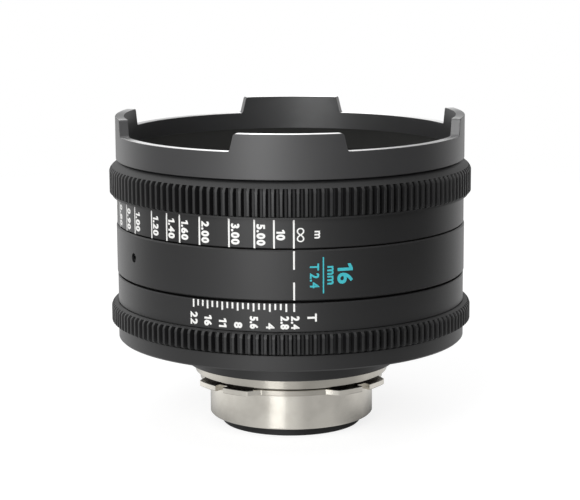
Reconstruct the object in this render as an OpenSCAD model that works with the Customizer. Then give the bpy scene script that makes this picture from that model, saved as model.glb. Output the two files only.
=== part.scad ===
// Cinema prime lens with a four-lobed rear mount, a focus ring, an iris ring and the works inside.
// Millimetres. The origin is the middle of the mount's seating face, +Z points to the front of the
// lens and -Y is the side with the index line.

/* [Hood] */
// Outside diameter of the hood and the barrel
body_d = 114; // [100:0.5:130]
// Height of the hood's wall, from its base to the rim between the tabs
hood_h = 8.4; // [6:0.1:14]
// Height of a tab above the rim
tab_h = 5.5; // [2:0.1:9]
// Number of tabs round the rim
tab_count = 4; // [3:1:6]
// Angle that a tab spans where it leaves the rim
tab_span = 36.8; // [20:0.2:50]
// Angle at which a tab's sides lean in
tab_lean = 14; // [0:1:30]
// Thickness of the hood's wall
hood_wall = 3; // [2:0.1:3.6]
// Angle from the index line to the front tab, where the hood's thread comes to its stop
hood_clock = -1.5; // [-6:0.5:6]

/* [Rings] */
// Height of the focus gear ring
focus_gear_h = 11.4; // [10.6:0.1:15]
// Height of the focus scale
focus_scale_h = 9.15; // [8:0.05:12]
// Height of the middle barrel
barrel_h = 15.75; // [14.5:0.05:19]
// Height of the iris scale
iris_scale_h = 9.05; // [8.6:0.05:12]
// Height of the iris gear ring
iris_gear_h = 6.85; // [5.5:0.05:9]
// Height of the fixed skirt behind the iris gear
skirt_h = 5.2; // [4.4:0.1:8]
// Thickness of a scale ring's wall
ring_wall = 3.4; // [2.8:0.1:3.6]
// Gap between the barrel and the iris scale
barrel_gap = 0.7; // [0.3:0.1:1]

/* [Gears] */
// Module of both gears
gear_module = 0.8; // [0.5:0.05:1]
// How far the roots of the teeth stand out from the body
gear_stand = 0.4; // [0.1:0.1:1]
// Height of the sloped end of a tooth
tooth_slope = 1.8; // [0.6:0.1:2.2]

/* [Rear mount] */
// Diameter of the throat that goes into the camera
throat_d = 54; // [52:0.1:56]
// Length of the throat behind the seating face
throat_h = 11.9; // [8:0.1:14]
// Thickness of the throat's wall
throat_wall = 2.6; // [1.8:0.1:3.2]
// Diameter over the lobes
lobe_d = 67.2; // [64.5:0.1:70]
// Diameter of the flange between the lobes
flange_d = 60.6; // [58.6:0.1:62]
// Thickness of the flange
flange_t = 1.9; // [1.5:0.1:3]
// Angle that a lobe spans at its tip
lobe_span = 38; // [28:1:46]
// Angle that a lobe spans at the flange
lobe_root_span = 53; // [48:1:60]
// Width of the index notch in a lobe
notch_w = 3; // [2:0.1:4]
// Depth of the index notch in a lobe
notch_depth = 2.2; // [1:0.1:2.8]
// Height of the groove above the lobes
groove_h = 0.8; // [0.5:0.1:2]
// Diameter of the mount's collar
collar_d = 63.8; // [62.6:0.1:66]
// Height of the mount's collar
collar_h = 3.1; // [2.8:0.1:6]
// Thickness of the shim on top of the collar
shim_t = 0.2; // [0.1:0.05:0.5]
// Diameter of the boss that carries the mount
boss_d = 69.7; // [67:0.1:74]
// Height of the boss below the skirt
boss_h = 8.5; // [7:0.1:12]
// Gap between the rear cell's tube and the throat's bore
rear_tube_gap = 1.4; // [0.5:0.1:3]
// How far the rear tube stands out of the throat
rear_tube_out = 3.1; // [1:0.1:6]

/* [Glass] */
// Room round the front glass, from its edge to the bore that its cell sits in
front_cell_wall = 3.2; // [2.9:0.1:5]
// Height of the front glass's dome
front_dome = 7; // [4:0.1:9]
// How much smaller the second glass's radius is than the front glass's
second_step = 6; // [4.5:0.5:9]
// Diameter of the two glasses in the focus cell
focus_glass_d = 52; // [44:0.5:56]
// Diameter of the rear glasses
rear_glass_d = 38; // [34:0.5:39]

/* [Focus drive] */
// Angle that the focus ring turns, from far to near
focus_turn = 242; // [180:1:260]
// Climb of the cam grooves in a full turn
cam_lead = 12.6; // [11.5:0.1:13.5]
// Diameter of a cam follower
follower_d = 2.4; // [2:0.1:2.8]
// Diameter of the bearing balls
ball_d = 2; // [1.8:0.1:2.2]
// Number of balls in a bearing
ball_count = 24; // [12:1:30]

/* [Iris] */
// Number of blades
blade_count = 9; // [7:1:10]
// Opening of the iris when it is fully open
open_d = 21; // [19:0.5:22]
// Opening of the iris when it is stopped down
small_d = 2.3; // [1.5:0.1:5]
// Angle that the iris ring turns
iris_turn = 32.8; // [26:0.2:34]
// Thickness of a blade
blade_t = 0.15; // [0.1:0.01:0.2]
// Diameter of the rod from the iris ring to the iris cam ring
rod_d = 2; // [1.6:0.1:2.4]

/* [Fits] */
// Clearance between faces that run on each other
run_gap = 0.1; // [0.05:0.01:0.15]
// Clearance between turned faces that are fixed to each other
seat_gap = 0.05; // [0.02:0.01:0.08]
// Gap between the end of a turning ring and what is next to it
end_gap = 0.35; // [0.2:0.05:0.6]

/* [Hidden] */
$fn = 120;

// Colours
black = [0.10, 0.10, 0.11];
steel = [0.72, 0.72, 0.70];
brass = [0.72, 0.58, 0.30];
dark_steel = [0.25, 0.25, 0.26];
glass_tint = [0.55, 0.68, 0.72];

// Heights, from the mount up
z_rear = -throat_h - rear_tube_out;
z_collar = flange_t + groove_h;
z_shim = z_collar + collar_h;
z_boss = z_shim + shim_t;
z_skirt = z_boss + boss_h;
z_skirt_top = z_skirt + skirt_h;
z_iris_gear = z_skirt_top + end_gap;
z_iris_scale = z_iris_gear + iris_gear_h;
z_iris_top = z_iris_scale + iris_scale_h;
z_barrel = z_iris_top + barrel_gap;
z_barrel_top = z_barrel + barrel_h;
z_focus_scale = z_barrel_top + end_gap;
z_focus_gear = z_focus_scale + focus_scale_h;
z_focus_top = z_focus_gear + focus_gear_h;
z_hood = z_focus_top + end_gap;
z_rim = z_hood + hood_h;
z_tab = z_rim + tab_h;

// Outside radii
body_r = body_d / 2;
scale_r = body_r - 0.1;
barrel_r = body_r + 0.1;
tooth_depth = 2.25 * gear_module;
gear_teeth = round(2 * (body_r + gear_stand + tooth_depth) / gear_module) - 2;
tip_r = gear_module * (gear_teeth + 2) / 2;
root_r = tip_r - tooth_depth;
ring_in = scale_r - ring_wall;
sleeve_r = ring_in + 1.5;
gear_in = sleeve_r + seat_gap;
tube_r = ring_in - run_gap;
tube_in = tube_r - 2.9;

// Focus works, from the inside out
race_w = ball_d + 1.6;
foot_step = 0.9;
cam_wall = 2.9;
guide_wall = 2.8;
guide_r = ring_in - race_w - foot_step - cam_wall - run_gap;
guide_in = guide_r - guide_wall;
cam_in = guide_r + run_gap;
cam_r = cam_in + cam_wall;
groove_r = cam_in + 1.7;
cell_r = guide_in - run_gap;
foot_t = 2.6;
foot_r = cam_r + foot_step;
lip_in = foot_r - 3.5;
lip_t = 3;
z_foot = z_barrel + foot_t;
follower_r = follower_d / 2;
follower_count = 3;
cell_h = 10;
z_cell = z_barrel + 0.35;
z_follower = z_cell + 6;
focus_lip_t = 1.2;
focus_rear_edge = 2.6;
focus_spacer_t = 1.9;
focus_front_edge = 2.8;
focus_spacer_w = 1.6;
focus_ring_w = 1.8;
focus_ring_t = 1.3;
z_focus_rear = z_cell + focus_lip_t;
z_focus_spacer = z_focus_rear + focus_rear_edge;
z_focus_front = z_focus_spacer + focus_spacer_t;
z_focus_ring = z_focus_front + focus_front_edge;
focus_r = focus_glass_d / 2;
focus_rim = 2.2;
focus_dome = 1.6;
focus_hollow_rim = 3;
focus_front_hollow = 1.1;
focus_rear_hollow = 0.9;
travel = cam_lead * focus_turn / 360;
z_cam = z_foot + end_gap;
cam_flange_t = 2.6;
z_cam_flange = z_focus_gear + 0.4;
z_cam_top = z_cam_flange + cam_flange_t;
ball_r = ball_d / 2;
ball_gap = 0.05;
lower_race_r = (foot_r + ring_in) / 2 + 0.1;
upper_race_r = cam_r + 1.2;
z_race = z_focus_scale - 1.75;
z_race_lip = z_race + ball_d + ball_gap;
z_front_barrel = z_cam_top + ball_d + ball_gap;
stop_r = 0.7;
stop_circle = (cam_in + cam_r) / 2 - 0.2;
stop_depth = 1.6;

// Front works
floor_slope = 0.5;
floor_t = 0.9;
hood_in = body_r - hood_wall;
tail_in = hood_in - 3.5;
floor_rise = 1.9;
baffle_gap = 1.3;
function floor_z(r) = z_hood + floor_rise + (r - hood_in) * floor_slope;
z_hood_foot = z_hood - 3.5;
z_front_cell = z_hood - 4.7;
front_r = guide_in - front_cell_wall;
second_r = front_r - second_step;
front_hollow = 5.5;
second_dome = 3.4;
second_hollow = 4.5;
glass_rim = 1.5;
front_edge = 3.8;
second_edge = 2.5;
spacer_t = 1.9;
z_front_glass = z_front_cell - 0.7 - front_edge;
z_second_glass = z_front_glass - spacer_t - 1.6 - second_edge;
z_front_cell_end = z_second_glass - 1.5;
front_ring_r = front_r + 2;

// Iris works, from the rod down
rod_r = rod_d / 2;
z_rod = z_iris_scale + 2.8;
rod_angle = 90;
open_r = open_d / 2;
blade_w = 3;
pin_r = 0.5;
pivot_r = open_r + blade_w + 0.7;
blade_turn = 2 * asin((open_r - small_d / 2) / (2 * pivot_r));
tail = 4.5;
slot_gap = 0.08;
cam_rim_h = 3.4;
cam_web_t = 1.5;
z_iris_cam = z_rod - cam_rim_h / 2;
blade_pitch = blade_t + 0.07;
z_blades = z_iris_cam - 0.2 - blade_count * blade_pitch;
iris_floor_t = 1.7;
z_iris_floor = z_blades - 0.12 - iris_floor_t;
z_iris_cover = z_iris_cam + cam_rim_h + 0.15;
iris_cover_t = 1.2;
iris_cam_in = norm([pivot_r, tail]) - pin_r - slot_gap - 1.1;
iris_cam_web = norm([pivot_r + tail * sin(blade_turn), tail * cos(blade_turn)]) + pin_r + slot_gap + 0.3;
iris_cam_r = iris_cam_web + 1.6;
iris_wall_in = iris_cam_r + run_gap;
iris_r = iris_wall_in + 2.7;

// Rear works
rear_r = rear_glass_d / 2;
throat_r = throat_d / 2;
throat_in = throat_r - throat_wall;
rear_tube_r = throat_in - rear_tube_gap;
boss_r = boss_d / 2;
collar_r = collar_d / 2;
flange_r = flange_d / 2;
lobe_r = lobe_d / 2;
disc_t = 3.5;
z_disc = z_skirt + disc_t;
rear_flange_t = 3;
rear_flange_r = 38;
z_rear_lip = z_rear + 6;
rear_lip_t = 1.5;
rear_edge = 5;
doublet_edge = 4;
rear_spacer_t = 3;
z_rear_glass = z_rear_lip + rear_lip_t;
z_rear_spacer = z_rear_glass + rear_edge;
z_doublet_rear = z_rear_spacer + rear_spacer_t;
z_doublet_front = z_doublet_rear + doublet_edge;
z_rear_ring = z_doublet_front + doublet_edge;
rear_rim = 2;
rear_ring_w = 1.8;
rear_ring_t = 2.2;
doublet_dome = 2;
doublet_joint = 2;
doublet_hollow = 1;
rear_front_dome = 1.6;
rear_back_dome = 1.2;
mask_t = 0.8;
z_mask = z_rear + 1.2;
mask_window = [28, 20];
mount_screw_circle = (throat_in + collar_r) / 2;
mount_screw_r = 1.25;
mount_seat_t = 3;
mount_screw_head = z_boss + mount_seat_t;
mount_screw_depth = 2.4;
mount_head_step = 1;
mount_head_h = 2.4;
mount_key_r = 1.15;
mount_key_depth = 1.4;

// Screws and the holes they go in
hole_gap = 0.1;
thread_gap = 0.05;
spanner_w = 2;
driver_slot = 0.4;
driver_depth = 0.5;
screw_depth = 2.2;
front_screw_r = 0.8;
z_front_screw = z_front_barrel + 1.2;
guide_screw_r = 0.85;
guide_head_step = 1;
guide_screw_circle = foot_r - 2.1;
barrel_screw_r = 0.85;
barrel_head_r = 1.4;
barrel_head_h = 1.2;
barrel_screw_circle = foot_r + 1.6;
plug_r = 1.45;
z_plug = z_barrel + 8.35;
plug_angle = 208.5;
drive_screw_r = 1;
drive_head_r = 1.65;
drive_head_in = 0.6;
drive_screw_reach = 3.6;
drive_angle = 60;
cover_screw_r = 0.6;
cover_screw_in = 1.4;
cover_head_r = 1.1;
cover_head_h = 0.8;
cell_screw_r = 1;
cell_screw_in = 2.2;
cell_screw_depth = 2.8;
cell_head_r = 1.9;
cell_head_h = 1.4;

// A turned piece from its section, as [radius, height] points
module turned(section) {
    rotate_extrude() polygon(section);
}

// A plain turned ring
module ring(inside, outside, bottom, top) {
    turned([[inside, bottom], [outside, bottom], [outside, top], [inside, top]]);
}

// A ring's sector, from one angle to another
module sector(inside, outside, bottom, top, from, to) {
    rotate(from) rotate_extrude(angle = to - from)
        polygon([[inside, bottom], [outside, bottom], [outside, top], [inside, top]]);
}

// A bar that points out from the axis at an angle and a height
module spoke(angle, height, radius, from, to) {
    rotate(angle) translate([from, 0, height]) rotate([0, 90, 0]) cylinder(r = radius, h = to - from, $fn = 32);
}

// Copies of the children at equal angles
module around(count, first = 0) {
    for (i = [0 : count - 1]) rotate(first + i * 360 / count) children();
}

// An upright bar off the axis
module post(distance, radius, bottom, top) {
    translate([distance, 0, bottom]) cylinder(r = radius, h = top - bottom, $fn = 32);
}

// A ball cut off flat: a dome of that radius and height on the plane z = 0
module dome(radius, height) {
    ball = (radius * radius + height * height) / (2 * height);
    sides = 4 * ceil(1350 / asin(radius / ball));
    rotate_extrude() intersection() {
        translate([0, height - ball]) circle(r = ball, $fn = sides);
        square([radius + 1, height + 1]);
    }
}

// A lens: an edge from bottom to top, with a dome (plus) or a hollow (minus) of that depth on each face
module lens(radius, bottom, top, front_radius, front, rear_radius, rear) {
    difference() {
        union() {
            translate([0, 0, bottom]) cylinder(r = radius, h = top - bottom);
            if (front > 0) translate([0, 0, top]) dome(front_radius, front);
            if (rear > 0) translate([0, 0, bottom]) mirror([0, 0, 1]) dome(rear_radius, rear);
        }
        if (front < 0) translate([0, 0, top]) mirror([0, 0, 1]) dome(front_radius, -front);
        if (rear < 0) translate([0, 0, bottom]) dome(rear_radius, -rear);
    }
}

// The outline of a gear: straight flanks from the root circle to the tip circle
function gear_points(count, root, tip) = [
    for (i = [0 : count - 1], k = [0 : 3])
        let (
            pitch = 360 / count,
            share = [-0.36, -0.17, 0.17, 0.36][k],
            radius = [root, tip, tip, root][k],
            angle = (i + share) * pitch
        )
        radius * [cos(angle), sin(angle)]
];

// Gear teeth on a turned ring
module toothed(section, bottom, top) {
    intersection() {
        turned(section);
        translate([0, 0, bottom]) linear_extrude(top - bottom)
            polygon(gear_points(gear_teeth, root_r, tip_r));
    }
}

// The space that one tab stands in, between two planes that lean in
module tab_space() {
    reach = body_r + 5;
    for (i = [0 : tab_count - 1]) rotate(i * 360 / tab_count - 90) intersection_for(side = [-1, 1])
        rotate(side * tab_span / 2) translate([0, 0, z_rim]) rotate([side * tab_lean, 0, 0])
            translate([0, side > 0 ? -reach : 0, -20]) cube([reach, reach, 60]);
}

// Hood with a thread tail, a sloped floor and tabs round its rim
module front_hood() {
    color(black) rotate(hood_clock) difference() {
        turned([
            [tail_in, z_hood_foot], [tube_r - 0.1, z_hood_foot], [tube_r - 0.1, z_hood], [body_r, z_hood],
            [body_r, z_tab], [hood_in, z_tab], [hood_in, floor_z(hood_in)], [tail_in, floor_z(tail_in)]
        ]);
        difference() {
            ring(hood_in - 2, body_r + 2, z_rim, z_tab + 2);
            tab_space();
        }
    }
}

// Sloped ring with steps that covers the hood's floor
module hood_baffle() {
    inside = front_ring_r + baffle_gap;
    outside = hood_in - seat_gap;
    steps = 8;
    width = (outside - inside) / steps;
    color(black) turned(concat(
        [[inside, floor_z(inside) + seat_gap], [outside, floor_z(outside) + seat_gap]],
        [for (i = [steps : -1 : 1], k = [0, 1])
            let (r = inside + width * (i - k), z = floor_z(inside + width * i) + floor_t)
            [r, z - (k == 0 ? 0 : width * floor_slope * 0.35)]]
    ));
}

// Fixed ring that carries the hood
module front_barrel() {
    color(black) difference() {
        turned([
            [guide_r + seat_gap, z_front_barrel], [tube_r - 0.1, z_front_barrel], [tube_r - 0.1, z_hood_foot],
            [tail_in - seat_gap, z_hood_foot], [tail_in - seat_gap, floor_z(tail_in - seat_gap)],
            [guide_r + seat_gap, floor_z(guide_r + seat_gap)]
        ]);
        around(3, 30) spoke(0, z_front_screw, front_screw_r + thread_gap, guide_in, body_r);
        rotate(stop_angle()) post(stop_circle, stop_r + seat_gap, z_front_barrel - 1, z_front_barrel + 2);
    }
}

// Grub screws that hold the front barrel on the guide barrel
module front_barrel_screws() {
    color(dark_steel) around(3, 30) difference() {
        spoke(0, z_front_screw, front_screw_r, guide_r - guide_wall / 2, tube_r - 0.4);
        spoke(0, z_front_screw, front_screw_r / 2, tube_r - 1.6, tube_r);
    }
}

// Cell that holds the two front glasses
module front_cell() {
    out = guide_in - seat_gap;
    lip = second_r - 2.5;
    color(black) turned([
        [lip, z_front_cell_end], [out, z_front_cell_end], [out, z_front_cell], [guide_r - 0.2, z_front_cell],
        [guide_r - 0.2, z_front_cell + 1], [front_ring_r + seat_gap, z_front_cell + 1],
        [front_ring_r + seat_gap, z_front_glass + front_edge], [front_r + seat_gap, z_front_glass + front_edge],
        [front_r + seat_gap, z_front_glass - spacer_t - 1.6], [second_r + seat_gap, z_front_glass - spacer_t - 1.6],
        [second_r + seat_gap, z_second_glass], [lip, z_second_glass]
    ]);
}

// Threaded ring in front of the front glass, with two spanner notches
module front_retaining_ring() {
    bottom = z_front_glass + front_edge;
    color(black) difference() {
        ring(front_r - 1.2, front_ring_r, bottom, bottom + 1.7);
        around(2) translate([front_r, -1.25, bottom + 0.9]) cube([front_ring_r, 2.5, 2]);
    }
}

// Front glass
module front_glass() {
    color(glass_tint)
        lens(front_r, z_front_glass, z_front_glass + front_edge, front_r - glass_rim, front_dome,
            front_r - 10, -front_hollow);
}

// Spacer between the two front glasses
module front_spacer() {
    step = z_front_glass - spacer_t;
    color(black) turned([
        [second_r - 2, z_second_glass + second_edge], [front_r, z_second_glass + second_edge],
        [front_r, z_front_glass], [front_r - 4.5, z_front_glass], [front_r - 4.5, step], [second_r - 2, step]
    ]);
}

// Second glass
module second_glass() {
    color(glass_tint) lens(second_r, z_second_glass, z_second_glass + second_edge,
        second_r - glass_rim - 0.7, second_dome, second_r - 9, -second_hollow);
}

// Fixed barrel with three straight slots that keep the focus cell from turning
module guide_barrel() {
    color(black) difference() {
        union() {
            ring(guide_in, guide_r, z_barrel, z_front_cell);
            ring(guide_in, foot_r - seat_gap, z_barrel, z_foot);
        }
        around(follower_count, -90) {
            spoke(0, z_follower, follower_r + run_gap, guide_in - 2, guide_r + 2);
            spoke(0, z_follower + travel, follower_r + run_gap, guide_in - 2, guide_r + 2);
            translate([guide_in - 2, -follower_r - run_gap, z_follower])
                cube([guide_r - guide_in + 4, follower_d + 2 * run_gap, travel]);
        }
        around(3, 30) spoke(0, z_front_screw, front_screw_r + thread_gap, guide_r - guide_wall / 2 - 0.1, body_r);
        around(6, 15) {
            post(guide_screw_circle, guide_screw_r + hole_gap, z_barrel - 1, z_foot);
            translate([guide_screw_circle, 0, z_foot - guide_head_step]) cylinder(r1 = guide_screw_r + hole_gap,
                r2 = guide_screw_r + guide_head_step + hole_gap, h = guide_head_step + 0.001, $fn = 32);
        }
    }
}

// Flat-headed screws through the guide barrel's foot
module guide_screws() {
    color(dark_steel) around(6, 15) difference() {
        union() {
            post(guide_screw_circle, guide_screw_r, z_barrel - screw_depth, z_foot);
            translate([guide_screw_circle, 0, z_foot - guide_head_step])
                cylinder(r1 = guide_screw_r, r2 = guide_screw_r + guide_head_step, h = guide_head_step, $fn = 32);
        }
        translate([guide_screw_circle - driver_slot / 2, -3, z_foot - driver_depth]) cube([driver_slot, 6, 1]);
    }
}

// Outer fixed barrel between the two rings
module middle_barrel() {
    color(black) difference() {
        turned([
            [foot_r, z_barrel], [barrel_r, z_barrel], [barrel_r, z_barrel_top], [ring_in, z_barrel_top],
            [ring_in, z_race], [foot_r - 0.3, z_race], [foot_r - 0.3, z_race - 2.4], [tube_r - 0.2, z_race - 2.4],
            [tube_r - 0.2, z_foot], [foot_r, z_foot]
        ]);
        around(2, plug_angle) spoke(0, z_plug, plug_r + thread_gap, tube_r - 3, body_r + 2);
        around(6) post(barrel_screw_circle, barrel_screw_r + hole_gap, z_barrel - 1, z_foot + 1);
    }
}

// Round-headed screws that hold the middle barrel
module barrel_screws() {
    color(dark_steel) around(6) difference() {
        union() {
            post(barrel_screw_circle, barrel_screw_r, z_barrel - screw_depth, z_foot);
            post(barrel_screw_circle, barrel_head_r, z_foot, z_foot + barrel_head_h);
        }
        translate([barrel_screw_circle - driver_slot / 2, -3, z_foot + barrel_head_h - driver_depth])
            cube([driver_slot, 6, 1]);
    }
}

// Plugs in the barrel's two service holes
module service_plugs() {
    color(dark_steel) around(2, plug_angle) difference() {
        spoke(0, z_plug, plug_r, tube_r + 0.2, barrel_r - 0.5);
        translate([barrel_r - 1.6, 0, z_plug]) rotate([0, 90, 0]) cylinder(r = plug_r - 0.7, h = 3, $fn = 6);
    }
}

// A ring of balls
module ball_ring(circle, bottom) {
    around(ball_count) translate([circle, 0, bottom + ball_r]) sphere(r = ball_r, $fn = 24);
}

// A flat cage with a round pocket for each ball
module ball_cage(circle, bottom) {
    difference() {
        ring(circle - ball_r - 0.35, circle + ball_r + 0.35, bottom + ball_r - 0.25, bottom + ball_r + 0.25);
        around(ball_count) post(circle, ball_r + 0.08, bottom, bottom + ball_d);
    }
}

// Balls and cage below the focus ring
module lower_balls() {
    color(steel) ball_ring(lower_race_r, z_race);
}
module lower_ball_cage() {
    color(brass) ball_cage(lower_race_r, z_race);
}

// Balls and cage above the cam sleeve's flange
module upper_balls() {
    color(steel) ball_ring(upper_race_r, z_cam_top + ball_gap);
}
module upper_ball_cage() {
    color(brass) ball_cage(upper_race_r, z_cam_top + ball_gap);
}

// Where the fixed stop pin stands
function stop_angle() = 100;

// Pin that stops the focus ring at both ends of its turn
module focus_stop_pin() {
    color(dark_steel) rotate(stop_angle())
        post(stop_circle, stop_r, z_cam_top - stop_depth + 0.3, z_front_barrel + 2);
}

// Focus gear ring, with a smooth shoulder in front and a low rim behind its teeth
module focus_gear() {
    shoulder = z_focus_top - 1.7;
    rim_r = root_r + 0.9;
    color(black) {
        toothed([
            [gear_in, z_focus_gear + 0.6], [rim_r, z_focus_gear + 0.6], [tip_r + 0.1, z_focus_gear + 1.1],
            [tip_r + 0.1, shoulder - tooth_slope], [root_r - 0.1, shoulder], [gear_in, shoulder]
        ], z_focus_gear, shoulder);
        ring(gear_in, rim_r, z_focus_gear, z_focus_gear + 0.6);
        turned([
            [gear_in, shoulder], [root_r - 0.1, shoulder], [body_r - 0.9, z_focus_top], [gear_in, z_focus_top]
        ]);
    }
}

// Focus scale ring, with a sleeve under its gear and a lip over the lower balls
module focus_scale_ring() {
    top = z_focus_top - 0.5;
    middle = z_cam_flange + cam_flange_t / 2;
    color(black) difference() {
        turned([
            [ring_in, z_focus_scale], [scale_r, z_focus_scale], [scale_r, z_focus_gear], [sleeve_r, z_focus_gear],
            [sleeve_r, top], [ring_in, top], [ring_in, z_race_lip + 1.6], [foot_r + 0.1, z_race_lip + 1.6],
            [foot_r + 0.1, z_race_lip], [ring_in, z_race_lip]
        ]);
        around(3, drive_angle) {
            spoke(0, middle, drive_screw_r + thread_gap, ring_in - 1, body_r);
            spoke(0, middle, drive_head_r + hole_gap, ring_in + drive_head_in, body_r);
        }
    }
}

// One cam groove's cutter, swept along its climb on the inside of the sleeve
module cam_cutter() {
    half = follower_r + 0.1;
    lead_in = (follower_r + 0.3) / cam_in * 180 / PI;
    steps = 66;
    inner = cam_in - 1;
    outer = groove_r;
    points = [
        for (i = [0 : steps], k = [0 : 3])
            let (
                turn = -lead_in + i * (focus_turn + 2 * lead_in) / steps,
                radius = [inner, outer, outer, inner][k],
                side = [-half, -half, half, half][k]
            )
            [radius * cos(-turn), radius * sin(-turn), z_follower + turn * cam_lead / 360 + side]
    ];
    sides = [
        for (i = [0 : steps - 1], k = [0 : 3])
            let (a = i * 4 + k, b = i * 4 + (k + 1) % 4, c = b + 4, d = a + 4)
            each [[a, c, b], [a, d, c]]
    ];
    last = steps * 4;
    ends = [[0, 1, 2], [0, 2, 3], [last + 2, last + 1, last], [last + 3, last + 2, last]];
    polyhedron(points, concat(sides, ends));
}

// Sleeve that turns with the focus ring: three cam grooves inside and a flange with the stop groove
module cam_sleeve() {
    middle = z_cam_flange + cam_flange_t / 2;
    stop_half = (stop_r + 0.15) / stop_circle * 180 / PI;
    color(brass) difference() {
        union() {
            ring(cam_in, cam_r, z_cam, z_cam_top);
            ring(cam_in, ring_in - seat_gap, z_cam_flange, z_cam_top);
        }
        around(follower_count, -90) cam_cutter();
        around(3, drive_angle)
            spoke(0, middle, drive_screw_r + thread_gap, ring_in - drive_screw_reach - 0.4, body_r);
        sector(stop_circle - stop_r - 0.15, stop_circle + stop_r + 0.15, z_cam_top - stop_depth, z_cam_top + 1,
            stop_angle() - focus_turn - stop_half, stop_angle() + stop_half);
    }
}

// Screws that join the cam sleeve to the focus ring, under the gear
module focus_drive_screws() {
    middle = z_cam_flange + cam_flange_t / 2;
    color(dark_steel) around(3, drive_angle) difference() {
        union() {
            spoke(0, middle, drive_screw_r, ring_in - drive_screw_reach, ring_in + drive_head_in);
            spoke(0, middle, drive_head_r, ring_in + drive_head_in, sleeve_r - 0.1);
        }
        translate([sleeve_r - driver_depth, -driver_slot / 2, middle - 3]) cube([1, driver_slot, 6]);
    }
}

// Sliding cell with two glasses
module focus_cell() {
    lip = focus_r - 2;
    hub_r = focus_r + 2.4;
    rim_in = cell_r - 2.4;
    top = z_cell + cell_h;
    web = z_follower - 1.4;
    color(black) difference() {
        turned([
            [lip, z_cell], [hub_r, z_cell], [hub_r, web - 1.2], [rim_in, web - 1.2], [rim_in, z_cell],
            [cell_r, z_cell], [cell_r, top], [rim_in, top], [rim_in, web + 1.2], [hub_r, web + 1.2], [hub_r, top],
            [focus_r + seat_gap, top], [focus_r + seat_gap, z_focus_rear], [lip, z_focus_rear]
        ]);
        around(follower_count, -90) spoke(0, z_follower, follower_r - 0.2 + seat_gap, rim_in - 1, cell_r + 1);
    }
}

// Two notches for a spanner in the top of a retaining ring
module spanner_notches(inside, bottom) {
    around(2) translate([inside, -spanner_w / 2, bottom]) cube([2 * spanner_w, spanner_w, spanner_w]);
}

// Glasses, spacer and ring of the focus cell
module focus_rear_glass() {
    color(glass_tint) lens(focus_r, z_focus_rear, z_focus_spacer,
        focus_r - focus_rim, focus_dome, focus_r - focus_rim, focus_dome);
}
module focus_spacer() {
    color(black) ring(focus_r - focus_spacer_w, focus_r, z_focus_spacer, z_focus_front);
}
module focus_front_glass() {
    color(glass_tint) lens(focus_r, z_focus_front, z_focus_ring,
        focus_r - focus_hollow_rim, -focus_front_hollow, focus_r - focus_hollow_rim, -focus_rear_hollow);
}
module focus_retaining_ring() {
    color(black) difference() {
        ring(focus_r - focus_ring_w, focus_r, z_focus_ring, z_focus_ring + focus_ring_t);
        spanner_notches(focus_r - 1, z_focus_ring + focus_ring_t - 0.7);
    }
}

// Pins from the focus cell, through the straight slots, into the cam grooves
module cam_followers() {
    color(steel) around(follower_count, -90) {
        spoke(0, z_follower, follower_r - 0.2, cell_r - 2.4, cell_r);
        spoke(0, z_follower, follower_r, cell_r, groove_r - 0.3);
    }
}

// Iris scale ring, with a sleeve behind it for the gear
module iris_scale_ring() {
    color(black) difference() {
        turned([
            [ring_in, z_iris_gear], [sleeve_r, z_iris_gear], [sleeve_r, z_iris_scale], [scale_r, z_iris_scale],
            [scale_r, z_iris_top], [ring_in, z_iris_top]
        ]);
        spoke(rod_angle, z_rod, rod_r + seat_gap, ring_in - 2, ring_in + 2);
    }
}

// Iris gear ring
module iris_gear() {
    color(black) {
        toothed([
            [gear_in, z_iris_gear], [root_r + 0.9, z_iris_gear], [tip_r + 0.1, z_iris_gear + 0.6],
            [tip_r + 0.1, z_iris_scale - tooth_slope], [root_r - 0.1, z_iris_scale], [gear_in, z_iris_scale]
        ], z_iris_gear, z_iris_scale);
    }
}

// Rod from the iris ring to the iris cam ring
module iris_drive_rod() {
    color(steel) spoke(rod_angle, z_rod, rod_r, iris_cam_web + 0.2, ring_in + 1.9);
}

// Where a blade's drive pin is in the cam ring, with the iris ring at that angle
function drive_point(turn) = let (
    swing = blade_turn * turn / iris_turn,
    x = pivot_r + tail * sin(swing),
    y = -tail * cos(swing)
) [x * cos(-turn) - y * sin(-turn), x * sin(-turn) + y * cos(-turn)];

// One side of a cam slot, at that distance from its middle line
function slot_side(offset, first, last, steps) = [
    for (i = [0 : steps])
        let (
            turn = first + i * (last - first) / steps,
            here = drive_point(turn),
            ahead = drive_point(turn + 0.1) - drive_point(turn - 0.1),
            along = ahead / norm(ahead)
        )
        here + offset * [-along[1], along[0]]
];

// Ring with a curved slot for each blade's drive pin
module iris_cam_ring() {
    half = pin_r + slot_gap;
    extra = 2.6;
    one = slot_side(half, -extra, iris_turn + extra, 14);
    other = slot_side(-half, iris_turn + extra, -extra, 14);
    color(brass) difference() {
        turned([
            [iris_cam_in, z_iris_cam], [iris_cam_r, z_iris_cam], [iris_cam_r, z_iris_cam + cam_rim_h],
            [iris_cam_web, z_iris_cam + cam_rim_h], [iris_cam_web, z_iris_cam + cam_web_t],
            [iris_cam_in, z_iris_cam + cam_web_t]
        ]);
        around(blade_count) translate([0, 0, z_iris_cam - 1]) linear_extrude(cam_rim_h)
            polygon(concat(one, [for (i = [0 : 14]) other[i]]));
        spoke(rod_angle, z_rod, rod_r + seat_gap, iris_cam_web - 1, iris_cam_r + 1);
    }
}

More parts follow.
